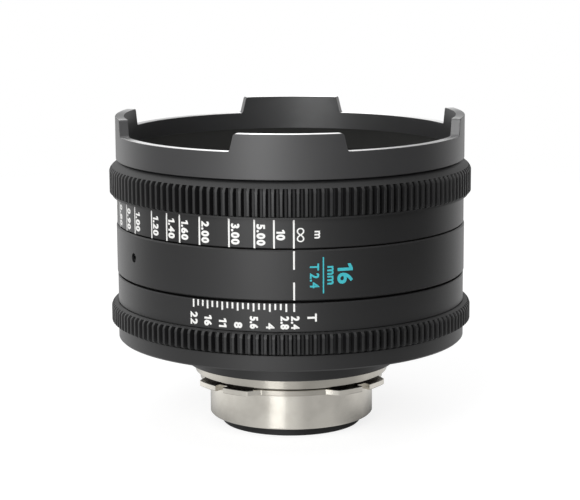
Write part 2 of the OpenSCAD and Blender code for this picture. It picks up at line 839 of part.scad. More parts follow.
// Cup that carries the blades' pivots
module iris_housing() {
    color(black) difference() {
        turned([
            [open_r + 0.4, z_iris_floor], [iris_r, z_iris_floor], [iris_r, z_iris_cover],
            [iris_wall_in, z_iris_cover],
            [iris_wall_in, z_iris_floor + iris_floor_t], [open_r + 0.4, z_iris_floor + iris_floor_t]
        ]);
        around(blade_count) post(pivot_r, pin_r + seat_gap, z_iris_floor - 1, z_blades);
        rod_slot(iris_wall_in, iris_r);
        around(3, iris_screw_angle())
            post(iris_wall_in + cover_screw_in, cover_screw_r + thread_gap, z_iris_cam + 0.4, z_iris_cover + 1);
    }
}

// Where the iris cover's first screw stands
function iris_screw_angle() = rod_angle + iris_turn / 2 + 60;

// Slot through a wall for the iris rod over the whole of its turn
module rod_slot(inside, outside) {
    margin = asin((rod_r + 0.25) / inside);
    sector(inside - 1, outside + 1, z_rod - rod_r - 0.25, z_rod + rod_r + 0.25, rod_angle - margin,
        rod_angle + iris_turn + margin);
}

// Plate over the iris cam ring
module iris_cover() {
    color(black) difference() {
        ring(iris_cam_in, iris_r, z_iris_cover, z_iris_cover + iris_cover_t);
        around(3, iris_screw_angle()) post(iris_wall_in + cover_screw_in, cover_screw_r + thread_gap,
            z_iris_cover - 1, z_iris_cover + iris_cover_t + 1);
    }
}
module iris_cover_screws() {
    top = z_iris_cover + iris_cover_t;
    color(dark_steel) around(3, iris_screw_angle()) difference() {
        union() {
            post(iris_wall_in + cover_screw_in, cover_screw_r, z_iris_cam + 0.5, top);
            post(iris_wall_in + cover_screw_in, cover_head_r, top, top + cover_head_h);
        }
        translate([iris_wall_in + cover_screw_in - driver_slot / 2, -2, top + cover_head_h - 0.35])
            cube([driver_slot, 4, 1]);
    }
}

// One blade with its two pins. Each blade lies one level above the last
module iris_blade(index) {
    level = z_blades + index * blade_pitch;
    color(dark_steel) rotate(index * 360 / blade_count) {
        difference() {
            union() {
                sector(open_r, open_r + blade_w, level, level + blade_t, -3, 112);
                translate([pivot_r, 0, level]) cylinder(r = 1.4, h = blade_t, $fn = 32);
                translate([pivot_r - 1, -tail, level]) cube([2, tail, blade_t]);
                translate([pivot_r, -tail, level]) cylinder(r = 1, h = blade_t, $fn = 32);
                post(pivot_r, pin_r, z_iris_floor + 0.1, level + blade_t);
                translate([0, -tail, 0]) post(pivot_r, pin_r, level, z_iris_cam + cam_web_t);
            }
            translate([0, 0, level - 1]) cylinder(r = open_r, h = 3);
        }
    }
}
module iris_blade_1() { iris_blade(0); }
module iris_blade_2() { iris_blade(1); }
module iris_blade_3() { iris_blade(2); }
module iris_blade_4() { iris_blade(3); }
module iris_blade_5() { iris_blade(4); }
module iris_blade_6() { iris_blade(5); }
module iris_blade_7() { iris_blade(6); }
module iris_blade_8() { iris_blade(7); }
module iris_blade_9() { iris_blade(8); }

// Rear housing: boss, skirt and the tube that the iris ring turns on
module rear_housing() {
    bore = rear_tube_r + 0.3;
    color(black) difference() {
        turned([
            [bore, z_boss], [boss_r, z_boss], [boss_r, z_skirt], [body_r - 0.5, z_skirt], [body_r, z_skirt + 0.5],
            [body_r, z_skirt_top], [tube_r, z_skirt_top], [tube_r, z_barrel], [lip_in, z_barrel],
            [lip_in, z_barrel - lip_t], [tube_in, z_barrel - lip_t], [tube_in, z_disc], [bore, z_disc]
        ]);
        rod_slot(tube_in, tube_r);
        around(6) {
            post(mount_screw_circle, mount_screw_r + hole_gap, z_boss - 1, z_disc);
            post(mount_screw_circle, mount_screw_r + mount_head_step + 2 * hole_gap, mount_screw_head, z_disc + 1);
        }
        around(6)
            post(barrel_screw_circle, barrel_screw_r + thread_gap, z_barrel - screw_depth - 0.1, z_barrel + 1);
        around(6, 15)
            post(guide_screw_circle, guide_screw_r + thread_gap, z_barrel - screw_depth - 0.1, z_barrel + 1);
        around(4, 45) post(rear_flange_r - cell_screw_in, cell_screw_r + thread_gap,
            z_disc - cell_screw_depth - 0.1, z_disc + 1);
    }
}

// Rear cell: flange on the housing's floor, seat for the iris and a tube that goes out through the mount
module rear_cell() {
    lip = rear_r - 1.8;
    bore = rear_r + seat_gap;
    mouth = rear_tube_r - 2.2;
    top = z_disc + rear_flange_t;
    color(black) difference() {
        turned([
            [mouth, z_rear], [rear_tube_r - 0.3, z_rear], [rear_tube_r, z_rear + 0.3], [rear_tube_r, z_disc],
            [rear_flange_r, z_disc], [rear_flange_r, top], [iris_r, top], [iris_r, z_iris_floor],
            [bore, z_iris_floor],
            [bore, z_rear_glass], [lip, z_rear_glass], [lip, z_rear_lip], [mouth - 1.3, z_mask + mask_t],
            [mouth, z_mask + mask_t]
        ]);
        around(4, 45) post(rear_flange_r - cell_screw_in, cell_screw_r + hole_gap, z_disc - 1, top + 1);
    }
}
module rear_cell_screws() {
    top = z_disc + rear_flange_t;
    color(dark_steel) around(4, 45) difference() {
        union() {
            post(rear_flange_r - cell_screw_in, cell_screw_r, z_disc - cell_screw_depth, top);
            post(rear_flange_r - cell_screw_in, cell_head_r, top, top + cell_head_h);
        }
        translate([rear_flange_r - cell_screw_in - driver_slot / 2, -3, top + cell_head_h - 0.6])
            cube([driver_slot, 6, 1]);
    }
}

// Rings and glasses of the rear cell
module rear_retaining_ring() {
    color(black) difference() {
        ring(rear_r - rear_ring_w, rear_r, z_rear_ring, z_rear_ring + rear_ring_t);
        spanner_notches(rear_r - 1, z_rear_ring + rear_ring_t - 1);
    }
}
module rear_spacer() {
    color(black) ring(rear_r - rear_ring_w, rear_r, z_rear_spacer, z_doublet_rear);
}
module doublet_front_glass() {
    color(glass_tint) lens(rear_r, z_doublet_front, z_rear_ring,
        rear_r - rear_rim, doublet_dome, rear_r - rear_rim, doublet_joint);
}
module doublet_rear_glass() {
    color(glass_tint) lens(rear_r, z_doublet_rear, z_doublet_front,
        rear_r - rear_rim, -doublet_joint, rear_r - rear_rim, -doublet_hollow);
}
module rear_glass() {
    color(glass_tint) lens(rear_r, z_rear_glass, z_rear_spacer,
        rear_r - rear_rim, rear_front_dome, rear_r - rear_rim, rear_back_dome);
}

// Plate with a straight-sided window behind the rear glass
module rear_light_mask() {
    color(black) difference() {
        translate([0, 0, z_mask]) cylinder(r = rear_tube_r - 2.2 - seat_gap, h = mask_t);
        translate([-mask_window[0] / 2, -mask_window[1] / 2, z_mask - 1])
            cube([mask_window[0], mask_window[1], mask_t + 2]);
    }
}

// Shim between the mount and the boss
module mount_shim() {
    color(brass) difference() {
        ring(throat_in + 0.2, collar_r - 0.2, z_shim, z_boss);
        around(6) post(mount_screw_circle, mount_screw_r + hole_gap, z_shim - 1, z_boss + 1);
    }
}

// A point at a radius and an angle
function polar(radius, angle) = radius * [cos(angle), sin(angle)];

// Mount with a throat, a flange with four lobes and a collar
module rear_mount() {
    neck_r = flange_r - 0.8;
    tip = 45 - lobe_span / 2;
    root = 45 - lobe_root_span / 2;
    flank = polar(lobe_r, tip) - polar(flange_r, root);
    inner = polar(flange_r, root) - 0.4 * flank;
    outer = polar(lobe_r, tip) + 0.4 * flank;
    color(steel) difference() {
        turned([
            [throat_in, -throat_h], [throat_r - 0.4, -throat_h], [throat_r, -throat_h + 0.4], [throat_r, 0],
            [lobe_r, 0], [lobe_r, flange_t], [neck_r, flange_t], [neck_r, z_collar], [collar_r, z_collar],
            [collar_r, z_shim], [throat_in, z_shim]
        ]);
        around(4) difference() {
            translate([0, 0, -1]) linear_extrude(flange_t + 1 + groove_h / 2) polygon([
                inner, outer, [lobe_r + 4, outer[1]], [lobe_r + 4, -outer[1]], [outer[0], -outer[1]],
                [inner[0], -inner[1]]
            ]);
            translate([0, 0, -2]) cylinder(r = flange_r, h = flange_t + 4);
        }
        around(4, -45) translate([lobe_r - notch_depth, -notch_w / 2, -1])
            cube([notch_depth + 2, notch_w, flange_t + 1 + groove_h / 2]);
        around(6)
            post(mount_screw_circle, mount_screw_r + thread_gap, z_shim - mount_screw_depth - 0.2, z_shim + 1);
    }
}

// Screws that hold the mount, with their heads inside the boss
module mount_screws() {
    color(dark_steel) around(6) difference() {
        union() {
            post(mount_screw_circle, mount_screw_r, z_shim - mount_screw_depth, mount_screw_head);
            post(mount_screw_circle, mount_screw_r + mount_head_step, mount_screw_head,
                mount_screw_head + mount_head_h);
        }
        translate([mount_screw_circle, 0, mount_screw_head + mount_head_h - mount_key_depth])
            cylinder(r = mount_key_r, h = 2 * mount_key_depth, $fn = 6);
    }
}

front_hood();
hood_baffle();
front_barrel();
front_barrel_screws();
front_cell();
front_retaining_ring();
front_glass();
front_spacer();
second_glass();
guide_barrel();
guide_screws();
middle_barrel();
barrel_screws();
service_plugs();
lower_balls();
lower_ball_cage();
upper_balls();
upper_ball_cage();
focus_stop_pin();
focus_gear();
focus_scale_ring();
cam_sleeve();
focus_drive_screws();
focus_cell();
focus_front_glass();
focus_rear_glass();
focus_spacer();
focus_retaining_ring();
cam_followers();
iris_scale_ring();
iris_gear();
iris_drive_rod();
iris_cam_ring();
iris_housing();
iris_cover();
iris_cover_screws();
iris_blade_1();
iris_blade_2();
iris_blade_3();
iris_blade_4();
iris_blade_5();
iris_blade_6();
iris_blade_7();
iris_blade_8();
iris_blade_9();
rear_housing();
rear_cell();
rear_cell_screws();
rear_retaining_ring();
rear_spacer();
doublet_front_glass();
doublet_rear_glass();
rear_glass();
rear_light_mask();
mount_shim();
rear_mount();
mount_screws();
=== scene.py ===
"""Looks of a cinema prime lens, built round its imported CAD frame.

Size fields are in millimetres and angles in degrees, as on a drawing. Meshes are in metres. The axis of the
lens is Z, its front is up, and the index line is on the -Y side, where angles round the lens start.
"""

import logging
import math
from dataclasses import dataclass
from enum import Enum
from typing import Iterable, NamedTuple, Optional, Sequence

import bmesh
import bpy
from mathutils import Matrix, Vector


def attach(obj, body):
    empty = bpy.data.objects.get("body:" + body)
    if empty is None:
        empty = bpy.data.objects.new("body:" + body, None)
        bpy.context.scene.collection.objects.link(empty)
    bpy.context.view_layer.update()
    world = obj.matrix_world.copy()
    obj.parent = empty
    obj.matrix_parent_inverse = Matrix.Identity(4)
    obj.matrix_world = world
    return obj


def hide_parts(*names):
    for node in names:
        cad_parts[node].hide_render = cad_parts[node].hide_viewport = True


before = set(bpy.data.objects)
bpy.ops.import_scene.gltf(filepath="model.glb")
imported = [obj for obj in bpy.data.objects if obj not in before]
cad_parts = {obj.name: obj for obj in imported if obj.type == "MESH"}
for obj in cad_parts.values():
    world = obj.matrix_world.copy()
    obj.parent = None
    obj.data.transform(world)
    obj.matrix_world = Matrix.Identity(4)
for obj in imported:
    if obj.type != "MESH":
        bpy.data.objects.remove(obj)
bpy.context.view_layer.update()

log = logging.getLogger("lens")

Shell = bmesh.types.BMesh
Vert = bmesh.types.BMVert
Edge = bmesh.types.BMEdge
Face = bmesh.types.BMFace
Piece = bpy.types.Object
Mesh = bpy.types.Mesh
Tree = bpy.types.NodeTree
Node = bpy.types.Node
Socket = bpy.types.NodeSocket
Levels = tuple[tuple[float, float], ...]

MM = 0.001
AROUND = 288
DRILL_FLATS = 48
SLOT_STEPS = 24
SHARP_ANGLE = math.radians(22)
CORNER_ANGLE = math.radians(40)
RIM_ANGLE = math.radians(60)
MERGE = 1e-7
HAIR = 1e-6
SLACK = 0.01
FLAT = 0.9
HALF_TURNED = 0.5


class Body(Enum):
    """The bodies of the frame that new pieces ride on."""

    LENS = "lens_body"
    FOCUS = "focus_ring"
    GROUP = "focus_group"
    IRIS = "iris_ring"


class Broken(Enum):
    """What a chamfer breaks: edges, or the points of a section."""

    EDGES = "EDGES"
    POINTS = "VERTICES"


class Corner(NamedTuple):
    """A corner of a turned section, with the width of its chamfer."""

    radius: float
    height: float
    chamfer: float = 0.0


class ToothLevel(NamedTuple):
    """A level of a gear: its height, and the radii of its tips and roots there."""

    height: float
    tip: float
    root: float


def linear(hex_colour: str) -> tuple[float, float, float, float]:
    """Turns an sRGB hex colour to linear light.

    Args:
        hex_colour: Six hex digits after a hash sign.

    Returns:
        Red, green, blue and an alpha of 1.
    """
    shares = [int(hex_colour[i : i + 2], 16) / 255 for i in (1, 3, 5)]
    red, green, blue = (s / 12.92 if s <= 0.04045 else ((s + 0.055) / 1.055) ** 2.4 for s in shares)
    return red, green, blue, 1.0


def set_inputs(tree: Tree, node: Node, inputs: dict) -> None:
    """Sets a node's inputs or links them.

    Args:
        tree: The node's tree.
        node: The node.
        inputs: Values, sockets or nodes by input name or number. A node gives its first output.
    """
    for key, value in inputs.items():
        source = value.outputs[0] if isinstance(value, Node) else value
        if isinstance(source, Socket):
            tree.links.new(source, node.inputs[key])
        else:
            node.inputs[key].default_value = source


def add_node(tree: Tree, kind: str, inputs: Optional[dict] = None, **settings: object) -> Node:
    """Adds a shader node with its settings and links.

    Args:
        tree: The tree that gets the node.
        kind: The end of the node's type name.
        inputs: What its inputs get, as in set_inputs.
        **settings: The node's own properties.

    Returns:
        The new node.
    """
    node = tree.nodes.new("ShaderNode" + kind)
    for name, value in settings.items():
        setattr(node, name, value)
    set_inputs(tree, node, inputs or {})
    return node


@dataclass(frozen=True)
class Finish:
    """A finish, named for its material and for the process that made its surface."""

    name: str
    colour: str
    roughness: float

    def material(self) -> bpy.types.Material:
        """Returns the finish's material, made the first time."""
        found = bpy.data.materials.get(self.name)
        if found:
            return found
        made = bpy.data.materials.new(self.name)
        made.use_nodes = True
        self.dress(made.node_tree, made.node_tree.nodes["Principled BSDF"])
        return made

    def dress(self, tree: Tree, surface: Node) -> None:
        """Sets the shader's sockets and adds the finish's patterns.

        Args:
            tree: The material's node tree.
            surface: Its Principled shader.
        """
        set_inputs(tree, surface, {"Base Color": linear(self.colour), "Roughness": self.roughness})

    def turned_place(self, tree: Tree) -> Socket:
        """Adds coordinates that are the same all round the axis: radius and height.

        Args:
            tree: The material's node tree.

        Returns:
            A vector socket in metres.
        """
        place = add_node(tree, "TexCoord").outputs["Object"]
        flat = add_node(tree, "VectorMath", {0: place, 1: (1, 1, 0)}, operation="MULTIPLY")
        radius = add_node(tree, "VectorMath", {0: flat}, operation="LENGTH").outputs["Value"]
        height = add_node(tree, "SeparateXYZ", {0: place}).outputs["Z"]
        return add_node(tree, "CombineXYZ", {"X": radius, "Z": height}).outputs[0]

    def mottle(self, tree: Tree, size: float, detail: float, turned: bool = False) -> Socket:
        """Adds noise over the surface.

        Args:
            tree: The material's node tree.
            size: The size of its patches in millimetres.
            detail: How many finer layers it has.
            turned: Whether it runs in rings round the axis.

        Returns:
            A value socket from 0 to 1.
        """
        place = self.turned_place(tree) if turned else add_node(tree, "TexCoord").outputs["Object"]
        noise = add_node(tree, "TexNoise", {"Vector": place, "Scale": 1 / (size * MM), "Detail": detail})
        return noise.outputs["Fac"]


@dataclass(frozen=True)
class PatchedFinish(Finish):
    """A finish whose tone drifts to a second colour in patches."""

    patch: str

    def tone(self, tree: Tree, share: Node | Socket) -> Socket:
        """Adds the drift from the first colour to the second.

        Args:
            tree: The material's node tree.
            share: What says how far it goes.

        Returns:
            A colour socket.
        """
        colours = {0: share, 6: linear(self.colour), 7: linear(self.patch)}
        return add_node(tree, "Mix", colours, data_type="RGBA").outputs[2]


@dataclass(frozen=True)
class TurnedFinish(PatchedFinish):
    """A finish with the fine rings that a lathe leaves."""

    ring_pitch: float = 0.25
    ring_depth: float = 0.004
    ring_strength: float = 0.35
    spread: float = 0.06

    def roughen(self, tree: Tree, surface: Node, grain: Socket, relief: Node | Socket) -> None:
        """Varies the gloss and adds the relief.

        Args:
            tree: The material's node tree.
            surface: Its Principled shader.
            grain: What the gloss follows.
            relief: Where the relief's height comes from.
        """
        low = self.roughness - self.spread
        high = self.roughness + self.spread
        gloss = add_node(tree, "MapRange", {"Value": grain, "To Min": low, "To Max": high})
        shape = {"Strength": self.ring_strength, "Distance": self.ring_depth * MM}
        bump = add_node(tree, "Bump", {"Height": relief, **shape})
        set_inputs(tree, surface, {"Roughness": gloss, "Normal": bump})


@dataclass(frozen=True)
class AnodisedAluminium(TurnedFinish):
    """Aluminium, turned, blasted with fine beads and anodised black.

    The eye gets a soft satin black with a broad highlight, a fine grain, and faint rings where the tool
    passed. The grain of the real finish is about 0.05 mm; it is drawn at 0.3 mm so that it shows.
    """

    grain: float = 0.3
    patch_size: float = 14.0
    shine: float = 0.5

    def dress(self, tree: Tree, surface: Node) -> None:
        """Sets the satin black, its grain and its turning rings.

        Args:
            tree: The material's node tree.
            surface: Its Principled shader.
        """
        tone = self.tone(tree, self.mottle(tree, self.patch_size, 3))
        grain = self.mottle(tree, self.grain, 1)
        rings = self.mottle(tree, self.ring_pitch, 1, turned=True)
        relief = add_node(tree, "Math", {0: grain, 1: rings}, operation="ADD")
        self.roughen(tree, surface, grain, relief)
        set_inputs(tree, surface, {"Base Color": tone, "Specular IOR Level": self.shine})


@dataclass(frozen=True)
class TurnedMetal(TurnedFinish):
    """Bare metal from the lathe, such as stainless steel or brass.

    The eye gets a bright reflection drawn out by fine rings round the axis. The feed of a fine cut is about
    0.05 mm; the rings are drawn at 0.2 mm so that they show.
    """

    ring_pitch: float = 0.2
    ring_depth: float = 0.002
    ring_strength: float = 0.3
    spread: float = 0.05
    patch_size: float = 9.0
    wear_from: float = 0.45
    wear_to: float = 0.8
    wear_share: float = 0.35
    drawn_out: float = 0.85
    quarter_turn: float = 0.25

    def dress(self, tree: Tree, surface: Node) -> None:
        """Sets the metal, its rings and its duller patches.

        Args:
            tree: The material's node tree.
            surface: Its Principled shader.
        """
        rings = self.mottle(tree, self.ring_pitch, 2, turned=True)
        patches = self.mottle(tree, self.patch_size, 4)
        worn = {"From Min": self.wear_from, "From Max": self.wear_to, "To Max": self.wear_share}
        wear = add_node(tree, "MapRange", {"Value": patches, **worn})
        tangent = add_node(tree, "Tangent", direction_type="RADIAL", axis="Z")
        self.roughen(tree, surface, rings, rings)
        set_inputs(tree, surface, {"Base Color": self.tone(tree, wear), "Metallic": 1.0, "Tangent": tangent})
        set_inputs(tree, surface, {"Anisotropic": self.drawn_out, "Anisotropic Rotation": self.quarter_turn})


@dataclass(frozen=True)
class FilledPaint(PatchedFinish):
    """Enamel wiped into an engraving and baked.

    The eye gets a clean matt line with a slightly uneven face, because the paint sinks as it dries.
    """

    patch_size: float = 1.2
    sink: float = 0.01
    sink_strength: float = 0.2

    def dress(self, tree: Tree, surface: Node) -> None:
        """Sets the paint, its unevenness and its matt face.

        Args:
            tree: The material's node tree.
            surface: Its Principled shader.
        """
        patches = self.mottle(tree, self.patch_size, 2)
        shape = {"Strength": self.sink_strength, "Distance": self.sink * MM}
        bump = add_node(tree, "Bump", {"Height": patches, **shape})
        super().dress(tree, surface)
        set_inputs(tree, surface, {"Base Color": self.tone(tree, patches), "Normal": bump})


@dataclass(frozen=True)
class CoatedGlass(Finish):
    """Optical glass, ground, polished and coated against reflections.

    The eye gets a deep clear glass whose faint reflections are tinted from violet to green by the thin
    coating.
    """

    middle_tint: str = "#453a70"
    rim_tint: str = "#34584a"
    rim: float = 40.0
    index: float = 1.6

    def dress(self, tree: Tree, surface: Node) -> None:
        """Sets the clear glass and the coating's tint.

        Args:
            tree: The material's node tree.
            surface: Its Principled shader.
        """
        radius = add_node(tree, "SeparateXYZ", {0: self.turned_place(tree)})
        outward = add_node(tree, "MapRange", {"Value": radius, "From Max": self.rim * MM})
        colours = {0: outward, 6: linear(self.middle_tint), 7: linear(self.rim_tint)}
        tint = add_node(tree, "Mix", colours, data_type="RGBA").outputs[2]
        super().dress(tree, surface)
        set_inputs(tree, surface, {"IOR": self.index, "Transmission Weight": 1.0, "Specular Tint": tint})


class Finishes:
    """The finishes of this lens."""

    HOOD = AnodisedAluminium("anodised_aluminium_satin_hood", "#2b2b2c", 0.42, "#303031", shine=0.82)
    MILLED = AnodisedAluminium("anodised_aluminium_milled_tabs", "#303031", 0.38, "#363637", shine=1.0)
    RIM = TurnedMetal("aluminium_diamond_cut_rim", "#f6f6f6", 0.4, "#e6e6e6", drawn_out=1.0)
    BARREL = AnodisedAluminium("anodised_aluminium_satin_barrel", "#191919", 0.42, "#1d1d1e", shine=0.56)
    SCALE = AnodisedAluminium("anodised_aluminium_satin_scales", "#181818", 0.42, "#1c1c1d", shine=0.56)
    GEAR = AnodisedAluminium("anodised_aluminium_hobbed_gears", "#131313", 0.5, "#181819", shine=0.55)
    # Painted shade: a darker, less shiny copy of the gear finish, laid in the tooth gaps.
    TOOTH_GAP_SHADE = AnodisedAluminium("anodised_aluminium_gaps_painted_shade", "#0f0f10", 0.52, "#141415", shine=0.42)
    INNER = AnodisedAluminium("anodised_aluminium_matt_inside", "#0d0d0e", 0.72, "#131314", shine=0.3)
    BAFFLE = AnodisedAluminium("anodised_aluminium_matt_baffle", "#2a2a29", 0.85, "#30302f", shine=0.1)
    TUBE = AnodisedAluminium("anodised_aluminium_turned_tube", "#0c0c0d", 0.42, "#111112", shine=0.35)
    STAINLESS = TurnedMetal("stainless_steel_turned", "#dad6cd", 0.24, "#9c988f")
    # Painted shade: the two finishes below are darker copies of the turned steel, for the shade on the
    # mount's collar and in its recess.
    COLLAR_SHADE = TurnedMetal("stainless_steel_collar_painted_shade", "#c0bcb3", 0.24, "#928e86")
    RECESS_SHADE = TurnedMetal("stainless_steel_recess_painted_shade", "#5c5953", 0.24, "#46433e")
    BALL_STEEL = TurnedMetal(
        "bearing_steel_polished", "#cfcfcf", 0.12, "#b4b4b4", ring_depth=0.0005, drawn_out=0.0
    )
    SCREW_STEEL = TurnedMetal("carbon_steel_blackened", "#3b3b3d", 0.4, "#252527")
    BLADE_STEEL = TurnedMetal("spring_steel_blued", "#2a2c31", 0.45, "#1c1d20")
    BRASS = TurnedMetal("brass_turned", "#b08d4a", 0.3, "#8f6f38")
    GLASS = CoatedGlass("optical_glass_coated", "#f3f7f4", 0.01)
    WHITE = FilledPaint("enamel_white_filled", "#fbfbf9", 0.55, "#ededea")
    TEAL = FilledPaint("enamel_teal_filled", "#40c0cb", 0.55, "#36adb8")


NODE_FINISHES: dict[Finish, tuple[str, ...]] = {
    Finishes.INNER: (
        "front_barrel", "front_cell", "front_retaining_ring", "front_spacer", "guide_barrel",
        "focus_cell", "focus_spacer", "focus_retaining_ring", "iris_housing", "iris_cover",
        "rear_retaining_ring", "rear_spacer", "rear_light_mask",
    ),
    Finishes.TUBE: ("rear_cell",),
    Finishes.SCREW_STEEL: (
        "front_barrel_screws", "guide_screws", "barrel_screws", "service_plugs", "focus_stop_pin",
        "focus_drive_screws", "iris_cover_screws", "rear_cell_screws", "mount_screws",
    ),
    Finishes.BALL_STEEL: ("lower_balls", "upper_balls", "cam_followers", "iris_drive_rod"),
    Finishes.BRASS: ("lower_ball_cage", "upper_ball_cage", "cam_sleeve", "iris_cam_ring", "mount_shim"),
    Finishes.BLADE_STEEL: tuple(f"iris_blade_{i}" for i in range(1, 10)),
}


def place_round(angle: float, radius: float, height: float) -> Vector:
    """Finds a point round the lens.

    Args:
        angle: Degrees from the index line, to the right when seen from outside.
        radius: Millimetres from the axis.
        height: Millimetres above the mount's seat.

    Returns:
        The point in metres.
    """
    turn = math.radians(angle - 90)
    return Vector((radius * math.cos(turn), radius * math.sin(turn), height)) * MM


def angle_of(point: Vector) -> float:
    """Returns a point's angle in degrees, from the index line and to the right."""
    return off_centre(math.degrees(math.atan2(point.y, point.x)), -90)


def radius_of(point: Vector) -> float:
    """Returns a point's distance from the axis in millimetres."""
    return math.hypot(point.x, point.y) / MM


def off_centre(angle: float, centre: float) -> float:
    """Returns the angle from a centre, from -180 to 180 degrees."""
    return (angle - centre + 180) % 360 - 180


def turn_point(vert: Vert, angle: float) -> None:
    """Turns a point round the axis by an angle in degrees."""
    vert.co = Matrix.Rotation(math.radians(angle), 3, "Z") @ vert.co


def outward_share(face: bpy.types.MeshPolygon) -> float:
    """Returns how much of a face's normal points away from the axis."""
    return face.normal.xy.dot(face.center.xy.normalized())


def add_object(name: str, data: bpy.types.ID) -> Piece:
    """Returns a new object in the scene."""
    thing = bpy.data.objects.new(name, data)
    bpy.context.scene.collection.objects.link(thing)
    return thing


def mesh_from(shell: Shell, name: str) -> Mesh:
    """Returns a new mesh from a bmesh, which is freed."""
    mesh = bpy.data.meshes.new(name)
    shell.to_mesh(mesh)
    shell.free()
    return mesh


def mesh_of(thing: Piece) -> Mesh:
    """Returns a new mesh of an object as its modifiers leave it."""
    graph = bpy.context.evaluated_depsgraph_get()
    return bpy.data.meshes.new_from_object(thing.evaluated_get(graph))


def pour(source: Shell, target: Shell) -> None:
    """Adds a bmesh, which is freed, to another one."""
    mesh = mesh_from(source, "poured")
    target.from_mesh(mesh)
    bpy.data.meshes.remove(mesh)


def shade(mesh: Mesh) -> None:
    """Makes a mesh smooth round its curves and sharp at its edges."""
    mesh.shade_smooth()
    mesh.set_sharp_from_angle(angle=SHARP_ANGLE)


def make_piece(shell: Shell, name: str, *finishes: Finish) -> Piece:
    """Makes an object from a shell.

    Args:
        shell: The bmesh, which is freed.
        name: The piece's name.
        *finishes: What it is dressed in, first what most of it gets.

    Returns:
        The new object, at the origin.
    """
    mesh = mesh_from(shell, name)
    shade(mesh)
    for finish in finishes:
        mesh.materials.append(finish.material())
    return add_object(name, mesh)


def merge_points(shell: Shell) -> None:
    """Merges doubled points."""
    bmesh.ops.remove_doubles(shell, verts=shell.verts[:], dist=MERGE)


def close_shell(shell: Shell) -> None:
    """Merges doubled points and turns the faces outwards."""
    merge_points(shell)
    bmesh.ops.recalc_face_normals(shell, faces=shell.faces[:])


def spin_round(shell: Shell, steps: int) -> None:
    """Spins a section's edges a full turn and closes the shell."""
    section = shell.verts[:] + shell.edges[:]
    bmesh.ops.spin(
        shell, geom=section, cent=(0, 0, 0), axis=(0, 0, 1), angle=math.tau, steps=steps, use_merge=True
    )
    close_shell(shell)


def turn_section(corners: Sequence[Corner]) -> Shell:
    """Turns a section round the axis, as a lathe would.

    Args:
        corners: The section's corners in order.

    Returns:
        A closed shell.
    """
    shell = bmesh.new()
    points = [shell.verts.new((c.radius * MM, 0, c.height * MM)) for c in corners]
    shell.faces.new(points)
    for width in sorted({c.chamfer for c in corners if c.chamfer > 0}):
        chosen = [p for p, c in zip(points, corners) if c.chamfer == width]
        chamfer(shell, chosen, width, broken=Broken.POINTS)
    bmesh.ops.delete(shell, geom=shell.faces[:], context="FACES_ONLY")
    spin_round(shell, AROUND)
    return shell


def chamfer(
    shell: Shell, geometry: list[Vert | Edge], width: float, segments: int = 1, broken: Broken = Broken.EDGES
) -> None:
    """Chamfers edges, or the corners of a section.

    Args:
        shell: The bmesh.
        geometry: The edges or points that get it.
        width: Its width in millimetres.
        segments: How many flats it has.
        broken: Whether edges or points get it.
    """
    bmesh.ops.bevel(
        shell,
        geom=geometry,
        offset=width * MM,
        offset_type="OFFSET",
        affect=broken.value,
        segments=segments,
        profile=0.5,
        material=-1,
    )


def align_columns(shell: Shell, centres: Sequence[float], half: float) -> None:
    """Turns the columns of points that are next to some sides on to those sides.

    Args:
        shell: A turned shell.
        centres: The angles in the middle of what has the sides.
        half: The angle from a middle to each of its sides.
    """
    step = 360 / AROUND
    for vert in shell.verts:
        for centre in centres:
            off = off_centre(angle_of(vert.co), centre)
            gap = half - abs(off)
            if abs(gap) <= step / 2:
                turn_point(vert, gap * math.copysign(1, off))


def near_centre(face: Face, centres: Sequence[float], half: float) -> bool:
    """Returns whether a face is within an angle of one of some centres."""
    angle = angle_of(face.calc_center_median())
    return any(abs(off_centre(angle, centre)) < half for centre in centres)


def draw_out(shell: Shell, faces: list[Face]) -> list[Vert]:
    """Extrudes faces and takes the old ones away.

    Args:
        shell: The bmesh.
        faces: The faces that are drawn out.

    Returns:
        The new faces' points, which still have to move.
    """
    drawn = bmesh.ops.extrude_face_region(shell, geom=faces)["geom"]
    moved = [g for g in drawn if isinstance(g, Vert)]
    bmesh.ops.delete(shell, geom=faces, context="FACES_ONLY")
    return moved


def add_block(shell: Shell, place: Vector, angle: float, size: tuple[float, float, float]) -> None:
    """Adds a block that faces away from the axis.

    Args:
        shell: The bmesh that gets it.
        place: Its middle in metres.
        angle: Where it is round the lens.
        size: Its depth, width and height in millimetres.
    """
    depth, width, height = (side * MM for side in size)
    turn = Matrix.Rotation(math.radians(angle - 90), 4, "Z")
    matrix = Matrix.Translation(place) @ turn @ Matrix.Diagonal((depth, width, height, 1))
    bmesh.ops.create_cube(shell, size=1.0, matrix=matrix)


def cut_away(piece: Piece, cutter: Shell) -> None:
    """Cuts a shape out of a piece.

    Args:
        piece: The piece that is cut.
        cutter: The closed shape that is taken away, which is freed.
    """
    mesh = mesh_from(cutter, "cutter")
    tool = add_object("cutter", mesh)
    cut = piece.modifiers.new("cut", "BOOLEAN")
    cut.operation = "DIFFERENCE"
    cut.solver = "EXACT"
    cut.object = tool
    old = piece.data
    fresh = mesh_of(piece)
    piece.modifiers.remove(cut)
    piece.data = fresh
    fresh.name = piece.name
    shade(fresh)
    bpy.data.meshes.remove(old)
    bpy.data.objects.remove(tool)
    bpy.data.meshes.remove(mesh)


@dataclass
class SubAssembly:
    """Something that is built as pieces that ride on one body."""

    body: Body

    def seat(self, piece: Piece, slot: str, *nodes: str) -> None:
        """Sets a piece on its body.

        Args:
            piece: The piece.
            slot: The record's material slot for it; not used.
            *nodes: The CAD nodes that it stands for.
        """
        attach(piece, self.body.value)
        if nodes:
            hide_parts(*nodes)
        log.info("%s on %s, %d faces", piece.name, self.body.value, len(piece.data.polygons))


